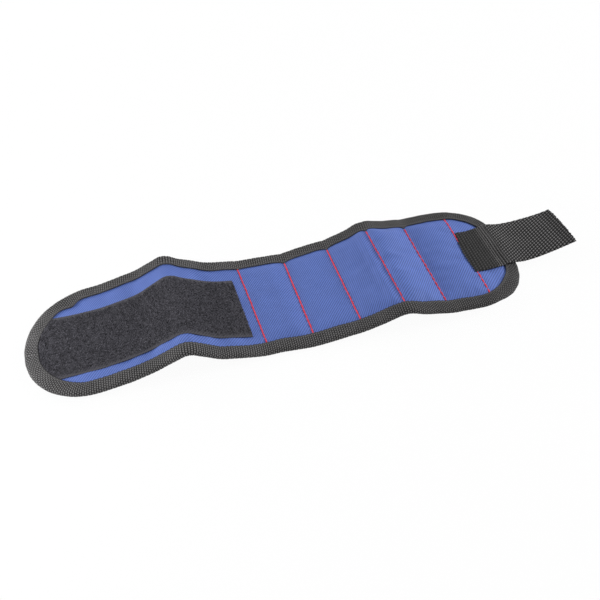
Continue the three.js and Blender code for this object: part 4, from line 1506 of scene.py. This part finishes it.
class WRISTBAND_OT_strap(DressOperator, bpy.types.Operator):
    """Makes the webbing strap and the rows of thread that tack it to the band"""

    bl_idname = "wristband.strap"
    bl_label = "Strap"

    def make(self, sizes, colours):
        material = coarse_webbing("strap_webbing", colours.webbing)
        stations = fine_stations(STRAP_START_AT, STRAP_CUT_AT, WEBBING_STEP)
        columns = np.linspace(-1, 1, int(STRAP_WIDTH / WEBBING_STEP) + 1)
        u, side = np.meshgrid(stations, columns, indexing="ij")
        scallop = SCALLOP * ridges(u, 0, WEBBING_COLUMNS)
        v = (STRAP_WIDTH / 2 + scallop) * side
        u = u + self.cut_end(u, v)
        bump = np.sqrt(ridges(u, v, WEBBING_RIBS) * ridges(u, v, WEBBING_COLUMNS))
        edge = smoothstep(0, EDGE_REACH, STRAP_WIDTH / 2 + scallop - np.abs(v))
        groove = hump(u[..., None], tack_rows(), GROOVE_REACH).sum(-1)
        groove *= smoothstep(0, GROOVE_ENDS, STRAP_WIDTH / 2 - np.abs(v))
        body = WEBBING / 2 * (EDGE_THICKNESS + (1 - EDGE_THICKNESS) * edge)
        relief = sizes.weave_height / MM * (bump - WEAVE_LEVEL)
        middle = strap_middle(u) + STRAP_WAVER * ripple(u, v, seed=31, count=4, shortest=18, longest=40)
        upper = middle + body + relief * (1 - GROOVE_FLATTENS * groove) - GROOVE_DEPTH * groove
        lower = middle - body - relief * UNDERSIDE_WEAVE
        on_u, on_v, _ = strap_place(u, v, lower)
        clear = np.maximum(lower, outer_height(on_u, on_v, sizes) + LAP_CLEARANCE)
        lower = np.where(on_u < LAST_ROW_AT, clear, lower)
        top, bottom = bend_strap(u, v, upper), bend_strap(u, v, lower)
        piece = new_slab("strap", "strap_webbing", (u, v), top, bottom, material)
        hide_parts("strap_base", "strap_webbing")
        flat = (STRAP_WIDTH * MM, (STRAP_CUT_AT - STRAP_START_AT) * MM)
        start = bend(BAND_END_AT - STRAP_BLEND_HALF, 0, STRAP_ON_BINDING)
        end = bend(BAND_END_AT + STRAP_BLEND_HALF, 0, STRAP_ON_BINDING)
        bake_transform(piece)
        self.make_tacks(colours)

    def cut_end(self, u, v):
        """How far the two cut ends bulge out, and the raw ends of the webbing stray."""
        off_middle = np.clip((v - TIP_BULGE_MIDDLE) / TIP_BULGE_HALF, -1, 1)
        bulge = STRAP_TIP_BULGE * np.cos(off_middle * math.pi / 2)
        fray = FRAY * ripple(v, 0 * v, seed=13, count=6, shortest=1.5, longest=6)
        at_tip = smoothstep(STRAP_CUT_AT - TIP_REACH, STRAP_CUT_AT, u)
        at_base = 1 - smoothstep(STRAP_START_AT, STRAP_START_AT + BASE_REACH, u)
        lap = STRAP_BASE_BULGE * np.clip(1 - (2 * v / STRAP_WIDTH) ** 2, 0, 1)
        return (bulge + fray) * at_tip + (fray - lap) * at_base

    def make_tacks(self, colours):
        """Short dark stitches in the grooves across the strap."""
        material = twisted_thread("tack_thread", shade(colours.webbing, TACK_SHADE))
        v = np.arange(-STRAP_WIDTH / 2 + TACK_ENDS[0], STRAP_WIDTH / 2 - TACK_ENDS[1], TACK_LENGTH)
        u, v = np.meshgrid(tack_rows(), v, indexing="ij")
        w = strap_middle(u) + WEBBING / 2 - TACK_DEPTH
        piece = seed_piece("strap_tacks", bend_strap, u, v, w, du=0.0, dv=1.0)
        values = {"Stitch Length": TACK_LENGTH * MM, "Thread Radius": TACK_RADIUS * MM, "Material": material}
        grow(piece, bpy.data.node_groups["sewn_stitches"], values)
        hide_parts("strap_tack_thread")
        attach(piece, "end")


# The hook tape: its gap to the strap, its thickness, its waver, and its steps along and columns across
HOOK_TAPE_GAP = 0.2
HOOK_TAPE = 0.45
HOOK_TAPE_WAVER = 0.04
HOOK_TAPE_STEP = 1.0
HOOK_TAPE_COLUMNS = 35
# The hooks: the distance between them along and across, their margins, and how every other row is shifted
HOOK_PITCH = (1.3, 0.95)
HOOK_ENDS = (1.2, 1.0)
HOOK_SHIFT = 0.24
HOOK_HEIGHT = 0.62
HOOK_RADIUS = 0.1


class WRISTBAND_OT_hook_patch(DressOperator, bpy.types.Operator):
    """Makes the hook tape under the free end of the strap"""

    bl_idname = "wristband.hook_patch"
    bl_label = "Hook Patch"

    def make(self, sizes, colours):
        ground = matted_cloth("hook_ground", colours.webbing)
        start = BAND_END_AT + HOOK_TO_FOLD
        end = STRAP_TIP_AT - HOOK_MARGIN
        reach = STRAP_WIDTH / 2 - HOOK_MARGIN
        stations = fine_stations(start, end, HOOK_TAPE_STEP)
        u, v = np.meshgrid(stations, np.linspace(-reach, reach, HOOK_TAPE_COLUMNS), indexing="ij")
        upper = STRAP_ON_BINDING - WEBBING / 2 - HOOK_TAPE_GAP
        lower = upper - HOOK_TAPE
        waver = HOOK_TAPE_WAVER * ripple(u, v, seed=8, count=6, shortest=3, longest=9)
        top, bottom = bend_strap(u, v, upper), bend_strap(u, v, lower + waver)
        piece = new_slab("hook_tape", "hook_tape", (u, v), top, bottom, ground)
        rows = np.arange(start + HOOK_ENDS[0], end - HOOK_ENDS[1], HOOK_PITCH[0])
        places = np.arange(-reach + HOOK_ENDS[0], reach - HOOK_ENDS[1], HOOK_PITCH[1])
        hook_u, hook_v = np.meshgrid(rows, places, indexing="ij")
        hook_v = hook_v + HOOK_SHIFT * (np.arange(len(rows)) % 2)[:, None]
        hooks = seed_piece("hook_field", bend_strap, hook_u, hook_v, lower, du=1.0, dv=0.0)
        face_down(hooks)
        values = {"Hook Height": HOOK_HEIGHT * MM, "Hook Radius": HOOK_RADIUS * MM, "Material": ground}
        grow(hooks, hook_tree(), values)
        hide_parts("hook_patch")
        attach(piece, "strap")
        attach(hooks, "strap")
        flat = (2 * reach * MM, (end - start) * MM)


# A foam pad: half its length and width, its thickness and its height, its rounded sides and its dents
PAD_HALF = (9.8, 26.8)
PAD_THICKNESS = 1.2
PAD_LOWER = -1.5
PAD_GRID = (25, 61)
PAD_ROUND = 0.45
PAD_ROUND_REACH = 1.6
PAD_DENTS = 0.03


class WRISTBAND_OT_pocket_fill(DressOperator, bpy.types.Operator):
    """Makes the foam pads behind the magnets, and plates the magnets"""

    bl_idname = "wristband.pocket_fill"
    bl_label = "Magnets and Pads"

    def make(self, sizes, colours):
        foam = matted_cloth("pad_foam", colours.foam)
        plating = plated_metal("magnet_plating", colours.magnet)
        for number in range(1, POCKET_COUNT + 1):
            magnet = frame["nodes"][f"magnet_bar_{number}"]
            magnet.data.materials.clear()
            magnet.data.materials.append(plating)
            self.make_pad(number, foam)

    def make_pad(self, number, foam):
        """A foam pad with a low crown and rounded sides, as large as its CAD solid."""
        middle = FIRST_ROW_AT + (number - 0.5) * POCKET_PITCH
        half_length, half_width = PAD_HALF
        shares = (np.linspace(-1, 1, count) for count in PAD_GRID)
        along, across = np.meshgrid(*shares, indexing="ij")
        u, v = middle + half_length * along, half_width * across
        from_edge = np.minimum(half_length - np.abs(u - middle), half_width - np.abs(v))
        round_off = PAD_ROUND * (1 - smoothstep(0, PAD_ROUND_REACH, from_edge))
        dents = PAD_DENTS * ripple(u, v, seed=number, count=6, shortest=3, longest=9)
        top = bend(u, v, PAD_LOWER + PAD_THICKNESS - round_off - np.abs(dents))
        bottom = bend(u, v, PAD_LOWER + round_off)
        piece = new_slab(f"foam_pad_{number}", "pad_foam", (u, v), top, bottom, foam)
        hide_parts(f"comfort_pad_{number}")
        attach(piece, f"pocket_{number}")


class WRISTBAND_OT_stage(bpy.types.Operator):
    """Sets up the floor, the light and the photograph's camera"""

    bl_idname = "wristband.stage"
    bl_label = "Stage"

    def execute(self, context):
        context.scene.view_settings.view_transform = "Standard"
        self.make_camera(context.scene)
        self.make_floor()
        for name, lamp in LAMPS.items():
            self.make_light(name, *lamp)
        self.make_world(context.scene)
        return {"FINISHED"}

    def make_camera(self, scene):
        """The camera that took the photograph."""
        camera = linked("camera", bpy.data.cameras.new("camera"))
        camera.data.lens = VIEW_LENS
        azimuth, elevation = math.radians(VIEW_AZIMUTH), math.radians(VIEW_ELEVATION)
        level = math.cos(elevation)
        back = Vector((math.sin(azimuth) * level, -math.cos(azimuth) * level, math.sin(elevation)))
        camera.location = (Vector(VIEW_TARGET) + back * VIEW_DISTANCE) * MM
        camera.rotation_euler = (-back).to_track_quat("-Z", "Y").to_euler()
        scene.camera = camera

    def make_floor(self):
        """A wide floor just under the band."""
        mesh = bpy.data.meshes.new("floor")
        corners = [(x, y, FLOOR_HEIGHT) for x, y in ((-1, -1), (1, -1), (1, 1), (-1, 1))]
        points = [(x * FLOOR_REACH * MM, y * FLOOR_REACH * MM, z * MM) for x, y, z in corners]
        mesh.from_pydata(points, [], [(0, 1, 2, 3)])
        mesh.materials.append(self.floor_material())
        linked("floor", mesh)

    def floor_material(self):
        """A pale floor whose shadows look faint to the camera, as under a cut-out studio photograph.

        The camera looks through it, so it hides nothing of a band that is folded below it."""
        fixed = {"Base Color": FLOOR_COLOUR, "Roughness": FLOOR_ROUGHNESS}
        material, nodes, shader = start_material("floor", fixed)
        glow = nodes.add("ShaderNodeEmission", None, {"Color": WHITE, "Strength": FLOOR_GLOW})
        surface = Socket(nodes, shader.outputs[0])
        # The glow also lights the band from below, as a fill light from a floor that is no lamp
        lit = nodes.add("ShaderNodeMixShader", None, {0: FLOOR_GLOW_SHARE, 1: surface, 2: glow})
        clear = nodes.add("ShaderNodeBsdfTransparent")
        seen = self.seen_rays(nodes) * FLOOR_CLEARNESS
        mixed = nodes.add("ShaderNodeMixShader", None, {0: seen, 1: lit, 2: clear})
        nodes.tree.links.new(mixed.socket, nodes.tree.nodes["Material Output"].inputs["Surface"])
        return material

    def seen_rays(self, nodes):
        """1 for what the camera sees, straight or in a reflection, and 0 for other light."""
        path = nodes.add("ShaderNodeLightPath")
        seen = nodes.math("MAXIMUM", path.other("Is Glossy Ray"), path.other("Is Transmission Ray"))
        return nodes.math("MAXIMUM", path.other("Is Camera Ray"), seen)

    def make_light(self, name, place, size, power):
        """A round lamp that faces the band."""
        lamp = bpy.data.lights.new(name, "AREA")
        lamp.shape = "DISK"
        lamp.size = size
        lamp.energy = power
        light = linked(name, lamp)
        light.location = place
        light.rotation_euler = (-Vector(place)).to_track_quat("-Z", "Y").to_euler()

    def make_world(self, scene):
        """White to the camera and in reflections, and a softer light on the object."""
        world = bpy.data.worlds.new("studio")
        world.use_nodes = True
        nodes = Tree(world.node_tree)
        strength = WORLD_LIGHT + self.seen_rays(nodes) * (1 - WORLD_LIGHT)
        background = world.node_tree.nodes["Background"]
        background.inputs["Color"].default_value = WHITE
        world.node_tree.links.new(strength.socket, background.inputs["Strength"])
        scene.world = world


class WRISTBAND_PT_panel(bpy.types.Panel):
    """Lists the wristband's settings and operators"""

    bl_idname = "WRISTBAND_PT_panel"
    bl_label = "Wristband"
    bl_space_type = "VIEW_3D"
    bl_region_type = "UI"
    bl_category = "Wristband"

    def draw(self, context):
        column = self.layout.column()
        for group in (context.scene.wristband_sizes, context.scene.wristband_colours):
            for name in type(group).__annotations__:
                column.prop(group, name)
        for operator in OPERATORS:
            column.operator(operator.bl_idname)


OPERATORS = (
    WRISTBAND_OT_stage,
    WRISTBAND_OT_outer_fabric,
    WRISTBAND_OT_lining,
    WRISTBAND_OT_binding,
    WRISTBAND_OT_loop_patch,
    WRISTBAND_OT_stitch_rows,
    WRISTBAND_OT_strap,
    WRISTBAND_OT_hook_patch,
    WRISTBAND_OT_pocket_fill,
)
CLASSES = (WristbandSizes, WristbandColours, *OPERATORS, WRISTBAND_PT_panel)


def register():
    for cls in CLASSES:
        bpy.utils.register_class(cls)
    bpy.types.Scene.wristband_sizes = bpy.props.PointerProperty(type=WristbandSizes)
    bpy.types.Scene.wristband_colours = bpy.props.PointerProperty(type=WristbandColours)


def unregister():
    del bpy.types.Scene.wristband_colours
    del bpy.types.Scene.wristband_sizes
    for cls in reversed(CLASSES):
        bpy.utils.unregister_class(cls)


def main():
    register()
    for operator in OPERATORS:
        family, name = operator.bl_idname.split(".")
        getattr(getattr(bpy.ops, family), name)()


if __name__ == "__main__":
    main()
